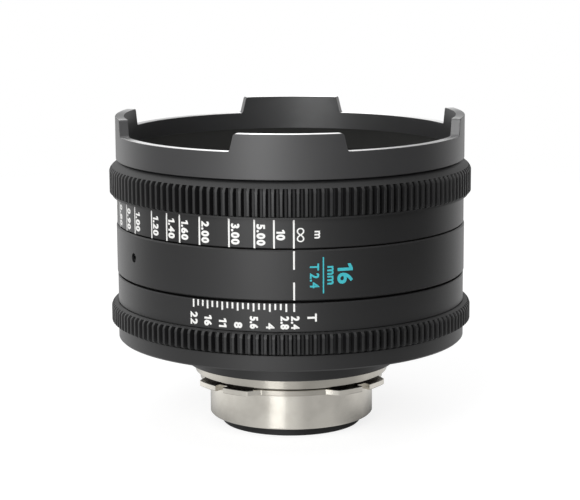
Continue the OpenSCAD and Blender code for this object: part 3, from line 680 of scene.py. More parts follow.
@dataclass
class Hood(SubAssembly):
    """The front hood with its four tabs."""

    body: Body = Body.LENS
    outside: float = 57.0
    inside: float = 54.0
    tail_outside: float = 53.3
    tail_inside: float = 50.5
    foot: float = 70.15
    base: float = 73.65
    base_edge: float = 0.2
    rim: float = 82.05
    floor_out: float = 75.55
    floor_in: float = 73.8
    tab_height: float = 5.5
    tab_half: float = 18.4
    tab_lean: float = 14.0
    tab_round: float = 0.6
    round_flats: int = 4
    clock: float = -1.5
    edge: float = 0.12
    level: float = 0.95

    def build(self) -> None:
        """Builds the hood: a turned wall whose rim is drawn up into tabs."""
        shell = turn_section(
            [
                Corner(self.tail_inside, self.foot),
                Corner(self.tail_outside, self.foot),
                Corner(self.tail_outside, self.base),
                Corner(self.outside, self.base, self.base_edge),
                Corner(self.outside, self.rim),
                Corner(self.inside, self.rim),
                Corner(self.inside, self.floor_out),
                Corner(self.tail_inside, self.floor_in),
            ]
        )
        centres = [self.clock + 90 * i for i in range(4)]
        align_columns(shell, centres, self.tab_half)
        self.raise_tabs(shell, centres)
        close_shell(shell)
        self.break_edges(shell)
        piece = make_piece(shell, "hood_shell", Finishes.HOOD, Finishes.MILLED, Finishes.RIM)
        top = (self.rim - self.edge) * MM - HAIR
        for face in piece.data.polygons:
            if face.center.z > top and face.normal.z > self.level:
                face.material_index = 2
            elif face.center.z > top and abs(outward_share(face)) < HALF_TURNED:
                face.material_index = 1
        self.seat(piece, "hood_black", "front_hood")

    def rim_edges(self, shell: Shell, angle: float) -> list[Edge]:
        """Returns the edges at or above the rim that are sharper than an angle."""
        top = self.rim * MM - HAIR
        above = [e for e in shell.edges if min(v.co.z for v in e.verts) > top]
        return [e for e in above if e.calc_face_angle(0.0) > angle]

    def break_edges(self, shell: Shell) -> None:
        """Rounds the tabs' corners and chamfers the edges of the rim.

        Args:
            shell: The hood with its tabs.
        """
        corners = [
            e
            for e in self.rim_edges(shell, CORNER_ANGLE)
            if abs(radius_of(e.verts[0].co) - radius_of(e.verts[1].co)) > 1
        ]
        chamfer(shell, corners, self.tab_round, self.round_flats)
        shell.normal_update()
        chamfer(shell, self.rim_edges(shell, RIM_ANGLE), self.edge)
        close_shell(shell)

    def raise_tabs(self, shell: Shell, centres: Sequence[float]) -> None:
        """Draws the rim up into tabs whose sides lean in.

        Args:
            shell: The turned hood.
            centres: The tabs' angles.
        """
        lands = [
            f
            for f in shell.faces
            if f.normal.z > FLAT
            and f.calc_center_median().z > (self.rim - self.edge) * MM
            and near_centre(f, centres, self.tab_half)
        ]
        raised = draw_out(shell, lands)
        bmesh.ops.translate(shell, verts=raised, vec=(0, 0, self.tab_height * MM))
        lean = self.tab_height * math.tan(math.radians(self.tab_lean))
        for vert in raised:
            for centre in centres:
                off = off_centre(angle_of(vert.co), centre)
                if abs(off) < self.tab_half + SLACK:
                    shift = math.degrees(lean / radius_of(vert.co))
                    turn_point(vert, -off * shift / self.tab_half)


@dataclass
class HoodBaffle(SubAssembly):
    """The sloped ring in the hood, with fine steps that trap stray light."""

    body: Body = Body.LENS
    inside: float = 43.3
    outside: float = 53.95
    bottom: float = 70.25
    slope: float = 0.5
    thickness: float = 0.85
    steps: int = 24
    tread_fall: float = 0.35

    def build(self) -> None:
        """Turns the ring from its smooth underside and the steps of its face."""
        width = (self.outside - self.inside) / self.steps
        rise = width * self.slope
        under = self.bottom + (self.outside - self.inside) * self.slope
        corners = [Corner(self.inside, self.bottom), Corner(self.outside, under)]
        for step in range(self.steps, 0, -1):
            height = self.bottom + self.thickness + rise * step
            corners.append(Corner(self.inside + width * step, height))
            corners.append(Corner(self.inside + width * (step - 1), height - rise * self.tread_fall))
        piece = make_piece(turn_section(corners), "baffle_steps", Finishes.BAFFLE)
        self.seat(piece, "inner_black", "hood_baffle")


@dataclass
class Gear(SubAssembly):
    """A gear ring, raised level by level from the outline of its teeth."""

    body: Body
    name: str
    node: str
    levels: tuple[ToothLevel, ...]
    inside: float = 55.05
    teeth: int = 146
    tip_share: float = 0.17
    root_share: float = 0.36
    edge: float = 0.1
    drawn_tip: float = 2.0
    drawn_root: float = 1.0

    def build(self) -> None:
        """Builds the gear ring as a closed shell."""
        shell = bmesh.new()
        start = self.outline(shell)
        middle = (self.drawn_tip + self.drawn_root) / 2
        tips = {v for v in shell.verts if radius_of(v.co) > middle}
        first = self.levels[0]
        self.set_level(shell.verts[:], tips, first)
        loop = start
        bore = [ToothLevel(end.height, self.inside, self.inside) for end in (self.levels[-1], first)]
        for level in (*self.levels[1:], *bore):
            loop, tips = self.lift(shell, loop, tips, level)
        bmesh.ops.bridge_loops(shell, edges=start + loop)
        close_shell(shell)
        self.soften_teeth(shell)
        close_shell(shell)
        piece = make_piece(shell, self.name, Finishes.GEAR, Finishes.TOOTH_GAP_SHADE)
        self.paint_gap_shade(piece)
        self.seat(piece, "gear_black", self.node)

    def paint_gap_shade(self, piece: Piece) -> None:
        """Paints shade into the flanks and roots between the teeth: a darker, less shiny copy of the gear's
        finish.

        Args:
            piece: The gear ring.
        """
        toothed = [level for level in self.levels if level.tip > level.root]
        root = toothed[0].root
        low = toothed[0].height
        high = toothed[-1].height
        for face in piece.data.polygons:
            outward = outward_share(face)
            sideways = math.sqrt(max(0.0, face.normal.xy.length_squared - outward * outward))
            between = low < face.center.z / MM < high
            bottom = outward > HALF_TURNED and radius_of(face.center) < root + self.edge
            if between and (sideways > HALF_TURNED or bottom):
                face.material_index = 1

    def outline(self, shell: Shell) -> list[Edge]:
        """Draws one tooth, small and flat, and copies it round the axis.

        Args:
            shell: An empty bmesh.

        Returns:
            The edges of the closed outline.
        """
        pitch = math.tau / self.teeth
        tip = self.drawn_tip * MM
        root = self.drawn_root * MM
        path = [(-self.root_share, root), (-self.tip_share, tip), (self.tip_share, tip)]
        path += [(self.root_share, root), (1 - self.root_share, root)]
        points = [
            shell.verts.new((radius * math.cos(share * pitch), radius * math.sin(share * pitch), 0))
            for share, radius in path
        ]
        for near, far in zip(points, points[1:]):
            shell.edges.new((near, far))
        bmesh.ops.spin(
            shell,
            geom=shell.verts[:] + shell.edges[:],
            cent=(0, 0, 0),
            axis=(0, 0, 1),
            angle=math.tau - pitch,
            steps=self.teeth - 1,
            use_duplicate=True,
        )
        merge_points(shell)
        return shell.edges[:]

    def set_level(self, verts: Iterable[Vert], tips: set[Vert], level: ToothLevel) -> None:
        """Moves a loop's points to a level.

        Args:
            verts: The loop's points.
            tips: Those of them that are tooth tips.
            level: The height and the radii.
        """
        for vert in verts:
            wanted = level.tip if vert in tips else level.root
            grow = wanted / radius_of(vert.co)
            vert.co = Vector((vert.co.x * grow, vert.co.y * grow, level.height * MM))

    def lift(
        self, shell: Shell, loop: list[Edge], tips: set[Vert], level: ToothLevel
    ) -> tuple[list[Edge], set[Vert]]:
        """Extrudes a loop to the next level.

        Args:
            shell: The bmesh.
            loop: The edges of the last level.
            tips: The tooth tips among its points.
            level: Where the new loop goes.

        Returns:
            The new loop's edges and its tips.
        """
        where = {tuple(round(c, 9) for c in v.co) for v in tips}
        drawn = bmesh.ops.extrude_edge_only(shell, edges=loop)["geom"]
        verts = [g for g in drawn if isinstance(g, Vert)]
        edges = [g for g in drawn if isinstance(g, Edge)]
        fresh = {v for v in verts if tuple(round(c, 9) for c in v.co) in where}
        self.set_level(verts, fresh, level)
        return edges, fresh

    def soften_teeth(self, shell: Shell) -> None:
        """Breaks the long edges of the tooth tips.

        Args:
            shell: The closed gear.
        """
        tip = max(level.tip for level in self.levels)
        edges = [
            e
            for e in shell.edges
            if all(abs(radius_of(v.co) - tip) < SLACK for v in e.verts)
            and abs(e.verts[0].co.z - e.verts[1].co.z) > 1 * MM
        ]
        chamfer(shell, edges, self.edge)


@dataclass
class ScaleBand(SubAssembly):
    """A turned ring that carries a scale."""

    body: Body
    name: str
    node: str
    corners: tuple[Corner, ...]

    def build(self) -> None:
        """Turns the ring."""
        piece = make_piece(turn_section(self.corners), self.name, Finishes.SCALE)
        self.seat(piece, "scale_black", self.node)


@dataclass
class MiddleBarrel(SubAssembly):
    """The fixed barrel between the rings, with two service holes."""

    body: Body = Body.LENS
    outside: float = 57.1
    bore: float = 53.2
    foot_bore: float = 49.9
    rib_bore: float = 49.6
    mouth_bore: float = 53.5
    bottom: float = 36.65
    foot_top: float = 39.25
    rib_bottom: float = 48.6
    rib_top: float = 51.0
    top: float = 52.4
    edge: float = 0.4
    hole_radius: float = 1.5
    hole_height: float = 45.0
    hole_angles: tuple[float, ...] = (-61.5, 118.5)
    drill_length: float = 8.0
    drill_over: float = 2.0

    def build(self) -> None:
        """Turns the barrel and drills its holes."""
        shell = turn_section(
            [
                Corner(self.foot_bore, self.bottom),
                Corner(self.outside, self.bottom, self.edge),
                Corner(self.outside, self.top, self.edge),
                Corner(self.mouth_bore, self.top),
                Corner(self.mouth_bore, self.rib_top),
                Corner(self.rib_bore, self.rib_top),
                Corner(self.rib_bore, self.rib_bottom),
                Corner(self.bore, self.rib_bottom),
                Corner(self.bore, self.foot_top),
                Corner(self.foot_bore, self.foot_top),
            ]
        )
        piece = make_piece(shell, "barrel_shell", Finishes.BARREL)
        for angle in self.hole_angles:
            cut_away(piece, self.drill(angle))
        self.seat(piece, "barrel_black", "middle_barrel")

    def drill(self, angle: float) -> Shell:
        """Makes a drill that points at the axis.

        Args:
            angle: Where it stands round the lens.

        Returns:
            A closed cylinder.
        """
        tool = bmesh.new()
        middle = self.outside + self.drill_over - self.drill_length / 2
        centre = place_round(angle, middle, self.hole_height)
        outward = Vector((centre.x, centre.y, 0)).normalized()
        bmesh.ops.create_cone(
            tool,
            cap_ends=True,
            segments=DRILL_FLATS,
            radius1=self.hole_radius * MM,
            radius2=self.hole_radius * MM,
            depth=self.drill_length * MM,
            matrix=Matrix.Translation(centre) @ outward.to_track_quat("Z", "Y").to_matrix().to_4x4(),
        )
        return tool


@dataclass
class RearHousing(SubAssembly):
    """The boss, the skirt and the tube that the iris ring turns on."""

    body: Body = Body.LENS
    bore: float = 23.3
    boss: float = 34.85
    skirt: float = 57.0
    tube: float = 53.4
    tube_inside: float = 50.5
    lip_inside: float = 46.4
    boss_bottom: float = 6.0
    skirt_bottom: float = 14.5
    floor: float = 18.0
    skirt_top: float = 19.7
    lip_bottom: float = 33.65
    top: float = 36.65
    boss_edge: float = 0.3
    skirt_low_edge: float = 0.5
    skirt_top_edge: float = 0.25
    slot_middle: float = 29.7
    slot_half: float = 1.25
    slot_over: float = 2.0
    slot_angles: tuple[float, float] = (178.5, 214.3)

    def build(self) -> None:
        """Turns the housing and cuts the slot for the iris rod."""
        shell = turn_section(
            [
                Corner(self.bore, self.boss_bottom),
                Corner(self.boss, self.boss_bottom, self.boss_edge),
                Corner(self.boss, self.skirt_bottom),
                Corner(self.skirt, self.skirt_bottom, self.skirt_low_edge),
                Corner(self.skirt, self.skirt_top, self.skirt_top_edge),
                Corner(self.tube, self.skirt_top),
                Corner(self.tube, self.top),
                Corner(self.lip_inside, self.top),
                Corner(self.lip_inside, self.lip_bottom),
                Corner(self.tube_inside, self.lip_bottom),
                Corner(self.tube_inside, self.floor),
                Corner(self.bore, self.floor),
            ]
        )
        piece = make_piece(shell, "rear_housing_shell", Finishes.BARREL)
        cut_away(piece, self.rod_slot())
        self.seat(piece, "barrel_black", "rear_housing")

    def rod_slot(self) -> Shell:
        """Returns the space that the iris rod sweeps, as a closed sector."""
        tool = bmesh.new()
        first, last = self.slot_angles
        inner = self.tube_inside - self.slot_over
        outer = self.tube + self.slot_over
        low = self.slot_middle - self.slot_half
        high = self.slot_middle + self.slot_half
        corners = [place_round(first, *c) for c in ((inner, low), (outer, low), (outer, high), (inner, high))]
        face = tool.faces.new([tool.verts.new(c) for c in corners])
        sweep = math.radians(last - first)
        bmesh.ops.spin(tool, geom=[face], cent=(0, 0, 0), axis=(0, 0, 1), angle=sweep, steps=SLOT_STEPS)
        close_shell(tool)
        return tool


@dataclass
class RearMount(SubAssembly):
    """The steel mount: a throat, a flange with four notched lobes and a collar."""

    body: Body = Body.LENS
    throat: float = 27.0
    throat_inside: float = 24.4
    throat_end: float = -11.9
    throat_edge: float = 0.4
    flange: float = 30.3
    flange_top: float = 1.9
    neck: float = 29.5
    collar: float = 31.9
    collar_bottom: float = 2.7
    collar_top: float = 5.8
    lobe: float = 33.6
    root_half: float = 24.8
    tip_half: float = 19.0
    notch_width: float = 3.5
    notch_depth: float = 2.2
    notch_over: float = 3.0
    notch_height: float = 2.6
    edge: float = 0.2

    def build(self) -> None:
        """Turns the mount, draws its lobes out and cuts their notches."""
        shell = turn_section(
            [
                Corner(self.throat_inside, self.throat_end, self.edge),
                Corner(self.throat, self.throat_end, self.throat_edge),
                Corner(self.throat, 0),
                Corner(self.flange, 0),
                Corner(self.flange, self.flange_top),
                Corner(self.neck, self.flange_top),
                Corner(self.neck, self.collar_bottom),
                Corner(self.collar, self.collar_bottom, self.edge),
                Corner(self.collar, self.collar_top, self.edge),
                Corner(self.throat_inside, self.collar_top),
            ]
        )
        centres = [45 + 90 * i for i in range(4)]
        self.draw_lobes(shell, centres)
        close_shell(shell)
        rims = [
            e
            for e in shell.edges
            if all(radius_of(v.co) > self.flange - SLACK for v in e.verts)
            and all(-SLACK <= v.co.z / MM <= self.flange_top + SLACK for v in e.verts)
            and e.calc_face_angle(0.0) > CORNER_ANGLE
        ]
        chamfer(shell, rims, self.edge)
        close_shell(shell)
        piece = make_piece(shell, "mount_shell", Finishes.STAINLESS)
        for centre in centres:
            cut_away(piece, self.notch(centre))
        self.paint_mount_shade(piece)
        self.seat(piece, "stainless", "rear_mount")

    def paint_mount_shade(self, piece: Piece) -> None:
        """Paints shade with darker steel on the recess over the lobes, the collar and the flange's edge.

        Args:
            piece: The mount.
        """
        # Painted shade: the recess gets the darkest copy of the steel, the collar and the flange's edge a
        # slightly darker one.
        for finish in (Finishes.RECESS_SHADE, Finishes.COLLAR_SHADE):
            piece.data.materials.append(finish.material())
        low = self.flange_top - self.edge / 2
        high = self.collar_bottom + SLACK
        for face in piece.data.polygons:
            height = face.center.z / MM
            at_edge = abs(radius_of(face.center) - self.flange) < self.edge and 0 < height < self.flange_top
            if low < height < high and face.normal.z > -HALF_TURNED:
                face.material_index = 1
            elif height > self.collar_bottom or at_edge:
                face.material_index = 2

    def draw_lobes(self, shell: Shell, centres: Sequence[float]) -> None:
        """Draws the flange's edge out into lobes.

        Args:
            shell: The turned mount.
            centres: The lobes' angles.
        """
        align_columns(shell, centres, self.root_half)
        edge_faces = [
            f
            for f in shell.faces
            if abs(radius_of(f.calc_center_median()) - self.flange) < self.edge / 4
            and 0 < f.calc_center_median().z / MM < self.flange_top
            and near_centre(f, centres, self.root_half)
        ]
        for vert in draw_out(shell, edge_faces):
            grow = self.lobe / radius_of(vert.co)
            vert.co = Vector((vert.co.x * grow, vert.co.y * grow, vert.co.z))
            for centre in centres:
                off = off_centre(angle_of(vert.co), centre)
                if abs(off) < self.root_half + SLACK:
                    turn_point(vert, off * (self.tip_half / self.root_half - 1))

    def notch(self, centre: float) -> Shell:
        """Makes the block that cuts a lobe's notch.

        Args:
            centre: The lobe's angle.

        Returns:
            A closed block.
        """
        tool = bmesh.new()
        reach = self.notch_depth + self.notch_over
        place = place_round(centre, self.lobe - self.notch_depth + reach / 2, self.flange_top / 2)
        add_block(tool, place, centre, (reach, self.notch_width, self.notch_height))
        return tool


@dataclass
class Glass(SubAssembly):
    """A lens element with two spherical faces and a blackened edge.

    A face's height is positive where its middle is in front of its rim and negative where it is behind.
    """

    body: Body
    node: str
    radius: float
    bottom: float
    top: float
    front_rim: float
    front_height: float
    rear_rim: float
    rear_height: float
    arc_steps: int = 20
    steps: int = 128

    def build(self) -> None:
        """Turns the element from its edge and the arcs of its faces."""
        shell = bmesh.new()
        edge = [(self.front_rim, self.top), (self.radius, self.top), (self.radius, self.bottom)]
        edge.append((self.rear_rim, self.bottom))
        points = [shell.verts.new((radius * MM, 0, height * MM)) for radius, height in edge]
        for near, far in zip(points, points[1:]):
            shell.edges.new((near, far))
        self.draw_arc(shell, points[0], self.front_rim, self.front_height)
        self.draw_arc(shell, points[-1], self.rear_rim, self.rear_height)
        merge_points(shell)
        spin_round(shell, self.steps)
        piece = make_piece(shell, self.node + "_element", Finishes.GLASS, Finishes.INNER)
        for face in piece.data.polygons:
            clear = self.front_rim if face.normal.z > 0 else self.rear_rim
            if radius_of(face.center) > clear:
                face.material_index = 1
        self.seat(piece, "coated_glass", self.node)

    def draw_arc(self, shell: Shell, start: Vert, rim: float, height: float) -> None:
        """Draws the arc of a spherical face from its rim to the axis.

        Args:
            shell: The bmesh.
            start: The point on the rim.
            rim: The rim's radius in millimetres.
            height: How far the middle of the face stands in front of the rim.
        """
        ball = (rim * rim + height * height) / (2 * abs(height))
        fall = math.copysign(ball, height) - height
        bmesh.ops.spin(
            shell,
            geom=[start],
            cent=(0, 0, start.co.z - fall * MM),
            axis=(0, 1, 0),
            angle=-math.atan(rim / fall),
            steps=self.arc_steps,
        )


class Line(NamedTuple):
    """An engraved line: where it is round the lens, its lowest and highest ends and its width."""

    angle: float
    bottom: float
    top: float
    width: float


class Anchor(Enum):
    """Which part of a word stands at its height."""

    MIDDLE = "middle"
    END = "end"


class Word(NamedTuple):
    """Engraved figures that read downwards: place, cap height, stretch along the line and extra weight."""

    text: str
    angle: float
    height: float
    cap: float
    stretch: float = 1.0
    weight: float = 0.18
    anchor: Anchor = Anchor.MIDDLE


@dataclass
class Marks(SubAssembly):
    """Lines and figures that are engraved on a turned face and filled with paint.

    The typeface's own measures, such as its cap height, are in its units.
    """

    body: Body
    name: str
    slot: str
    radius: float
    finish: Finish
    lines: Sequence[Line] = ()
    words: Sequence[Word] = ()
    sunk: float = 0.08
    proud: float = 0.025
    bend_step: float = 0.5
    type_cap: float = 0.7
    type_gap: float = 0.07
    type_space: float = 0.16
    type_half: float = 0.5
    type_steps: int = 4
    type_merge: float = 1e-5

    def build(self) -> None:
        """Builds all the marks as one piece."""
        shell = bmesh.new()
        for line in self.lines:
            self.add_line(shell, line)
        for word in self.words:
            self.add_word(shell, word)
        bmesh.ops.recalc_face_normals(shell, faces=shell.faces[:])
        piece = make_piece(shell, self.name, self.finish)
        self.seat(piece, self.slot)

    def add_line(self, shell: Shell, line: Line) -> None:
        """Adds an upright line.

        Args:
            shell: The bmesh.
            line: What it is and where.
        """
        depth = self.sunk + self.proud
        place = place_round(line.angle, self.radius + self.proud - depth / 2, (line.bottom + line.top) / 2)
        add_block(shell, place, line.angle, (depth, line.width, line.top - line.bottom))

    def add_word(self, shell: Shell, word: Word) -> None:
        """Adds figures, bent round the face.

        Args:
            shell: The bmesh.
            word: What they are and where.
        """
        figures = self.draw_figures(word)
        left = min(v.co.x for v in figures.verts)
        right = max(v.co.x for v in figures.verts)
        low = min(v.co.y for v in figures.verts)
        high = max(v.co.y for v in figures.verts)
        anchor = right if word.anchor is Anchor.END else (left + right) / 2
        for vert in figures.verts:
            along = vert.co.x - anchor
            across = vert.co.y - (low + high) / 2
            radius = self.radius + (self.proud if vert.co.z > 0 else -self.sunk)
            angle = word.angle + math.degrees(across / self.radius)
            vert.co = place_round(angle, radius, word.height - along)
        pour(figures, shell)

    def draw_figures(self, word: Word) -> Shell:
        """Draws figures flat, in millimetres, with their strokes widened.

        Args:
            word: What they are.

        Returns:
            A bmesh of closed solids that lie across the XY plane.
        """
        figures = self.set_type(word)
        scale = (word.cap - 2 * word.weight) / self.type_cap
        bmesh.ops.scale(figures, verts=figures.verts[:], vec=(scale * word.stretch, scale, scale))
        figures.normal_update()
        pushes = {}
        for vert in figures.verts:
            sides = [f.normal for f in vert.link_faces if abs(f.normal.z) < HALF_TURNED]
            pushes[vert] = sum(sides, Vector((0, 0, 0))).normalized() * word.weight
        for vert, push in pushes.items():
            vert.co += push
        low = min(v.co.y for v in figures.verts)
        for step in range(1, int(word.cap / self.bend_step) + 1):
            bmesh.ops.bisect_plane(
                figures,
                geom=figures.verts[:] + figures.edges[:] + figures.faces[:],
                plane_co=(0, low + step * self.bend_step, 0),
                plane_no=(0, 1, 0),
                dist=self.type_merge,
            )
        return figures

    def set_type(self, word: Word) -> Shell:
        """Sets a word's figures side by side, in the typeface's units.

        Args:
            word: What they are.

        Returns:
            A bmesh of closed solids that lie across the XY plane.
        """
        figures = bmesh.new()
        pen = 0.0
        for letter in word.text:
            if letter == " ":
                pen += self.type_space
                continue
            glyph = self.draw_one() if letter == "1" else self.draw_letter(letter)
            left = min(v.co.x for v in glyph.verts)
            bmesh.ops.translate(glyph, verts=glyph.verts[:], vec=(pen - left, 0, 0))
            right = max(v.co.x for v in glyph.verts)
            pen = right + self.type_gap + 2 * word.weight * self.type_cap / word.cap
            pour(glyph, figures)
        bmesh.ops.recalc_face_normals(figures, faces=figures.faces[:])
        return figures

    def draw_letter(self, letter: str) -> Shell:
        """Draws one letter or figure of the built-in typeface.

        Args:
            letter: The character.

        Returns:
            A bmesh of a closed solid.
        """
        curve = bpy.data.curves.new("figures", "FONT")
        curve.body = letter
        curve.extrude = self.type_half
        curve.resolution_u = self.type_steps
        holder = add_object("figures", curve)
        mesh = mesh_of(holder)
        bpy.data.objects.remove(holder)
        bpy.data.curves.remove(curve)
        glyph = bmesh.new()
        glyph.from_mesh(mesh)
        bpy.data.meshes.remove(mesh)
        bmesh.ops.remove_doubles(glyph, verts=glyph.verts[:], dist=self.type_merge)
        return glyph

    def draw_one(self) -> Shell:
        """Returns the figure one with a flag, which the built-in typeface draws as a bare stroke."""
        glyph = bmesh.new()
        outline = ((0.17, 0), (0.27, 0), (0.27, 0.69), (0.19, 0.69), (0, 0.59), (0, 0.48), (0.17, 0.56))
        face = glyph.faces.new([glyph.verts.new((x, y, -self.type_half)) for x, y in outline])
        drawn = bmesh.ops.extrude_face_region(glyph, geom=[face])["geom"]
        raised = [g for g in drawn if isinstance(g, Vert)]
        bmesh.ops.translate(glyph, verts=raised, vec=(0, 0, 2 * self.type_half))
        bmesh.ops.recalc_face_normals(glyph, faces=glyph.faces[:])
        return glyph


@dataclass
class FocusScale:
    """The focus scale's marks: distances in metres, spaced as their inverse."""

    distances: tuple[str, ...] = (
        "10", "5.00", "3.00", "2.00", "1.60", "1.40", "1.20", "1.00", "0.90", "0.80",
        "0.70", "0.60", "0.50", "0.45", "0.40", "0.35", "0.30", "0.25",
    )
    turn_per_inverse: float = 60.6
    radius: float = 56.9
    bottom: float = 52.9
    top: float = 61.75
    width: float = 0.54
    cap: float = 2.75
    stretch: float = 0.98
    weight: float = 0.19
    gap: float = 0.38
    drop: float = 0.3
    infinity_grow: float = 1.5
    infinity_stretch: float = 0.89
    infinity_weight: float = -0.04
    unit_grow: float = 0.93
    unit_weight: float = 0.1
    unit_turn: float = 5.15

    def build(self) -> None:
        """Builds the lines and figures of the scale."""
        middle = (self.bottom + self.top) / 2 - self.drop
        shift = math.degrees((self.width / 2 + self.gap + self.cap / 2) / self.radius)
        lines = [Line(0, self.bottom, self.top, self.width)]
        infinity = (self.cap * self.infinity_grow, self.infinity_stretch, self.infinity_weight)
        words = [
            Word("∞", shift, middle, *infinity),
            Word("m", shift + self.unit_turn, middle, self.cap * self.unit_grow, weight=self.unit_weight),
        ]
        for text in self.distances:
            angle = -self.turn_per_inverse / float(text)
            lines.append(Line(angle, self.bottom, self.top, self.width))
            words.append(Word(text, angle + shift, middle, self.cap, self.stretch, self.weight))
        Marks(Body.FOCUS, "focus_figures", "scale_black", self.radius, Finishes.WHITE, lines, words).build()


@dataclass
class IrisScale:
    """The iris scale's marks: full stops with two ticks between each pair."""

    stops: tuple[str, ...] = ("2.8", "4", "5.6", "8", "11", "16", "22")
    first_angle: float = -2.42
    stop_angle: float = 5.06
    radius: float = 56.9
    top: float = 35.8
    long_tick: float = 2.5
    short_tick: float = 1.9
    width: float = 0.55
    cap: float = 2.7
    word_end: float = 27.85
    narrow: float = 0.86
    wide: float = 1.08
    aside: float = 0.1
    first_aside: float = -0.5
    widest_aside: float = 0.3
    unit_angle: float = 5.5
    unit_rise: float = 3.55
    unit_cap: float = 3.1

    def build(self) -> None:
        """Builds the ticks and figures of the scale."""
        lines = [self.tick(0, self.long_tick)]
        words = [
            Word("2.4", self.widest_aside, self.word_end, self.cap, self.narrow, anchor=Anchor.END),
            Word("T", self.unit_angle, self.word_end + self.unit_rise, self.unit_cap),
        ]
        for index, text in enumerate(self.stops):
            angle = self.first_angle - index * self.stop_angle
            lines.append(self.tick(angle, self.long_tick))
            aside = self.first_aside if index == 0 else self.aside
            stretch = self.narrow if "." in text else self.wide
            words.append(Word(text, angle + aside, self.word_end, self.cap, stretch, anchor=Anchor.END))
            if index < len(self.stops) - 1:
                lines += [self.tick(angle - third * self.stop_angle / 3, self.short_tick) for third in (1, 2)]
        Marks(Body.IRIS, "iris_figures", "scale_black", self.radius, Finishes.WHITE, lines, words).build()

    def tick(self, angle: float, length: float) -> Line:
        """Returns a tick that hangs from the ring's upper edge."""
        return Line(angle, self.top - length, self.top, self.width)


@dataclass
class BarrelMarks:
    """The fixed index and the plain data beside it."""

    radius: float = 57.1
    index: tuple[Line, ...] = (Line(0, 36.95, 42.45, 0.54), Line(0, 46.4, 52.1, 0.54))
    rule: Line = Line(9.0, 38.9, 50.1, 0.4)
    data: tuple[Word, ...] = (
        Word("T 2.4", 6.25, 44.4, 2.95, 0.9, 0.13),
        Word("mm", 11.2, 44.4, 2.92, 1.01, 0.13),
        Word("16", 15.85, 44.7, 5.0, 1.1, 0.17),
    )

    def build(self) -> None:
        """Builds the index line in white and the data in teal."""
        place = ("barrel_black", self.radius)
        Marks(Body.LENS, "barrel_index", *place, Finishes.WHITE, self.index).build()
        Marks(Body.LENS, "barrel_data", *place, Finishes.TEAL, (self.rule,), self.data).build()


class Span(NamedTuple):
    """A change between two distances from the axis, in millimetres, and the values there."""

    near: float
    far: float
    first: float = 0.0
    last: float = 1.0


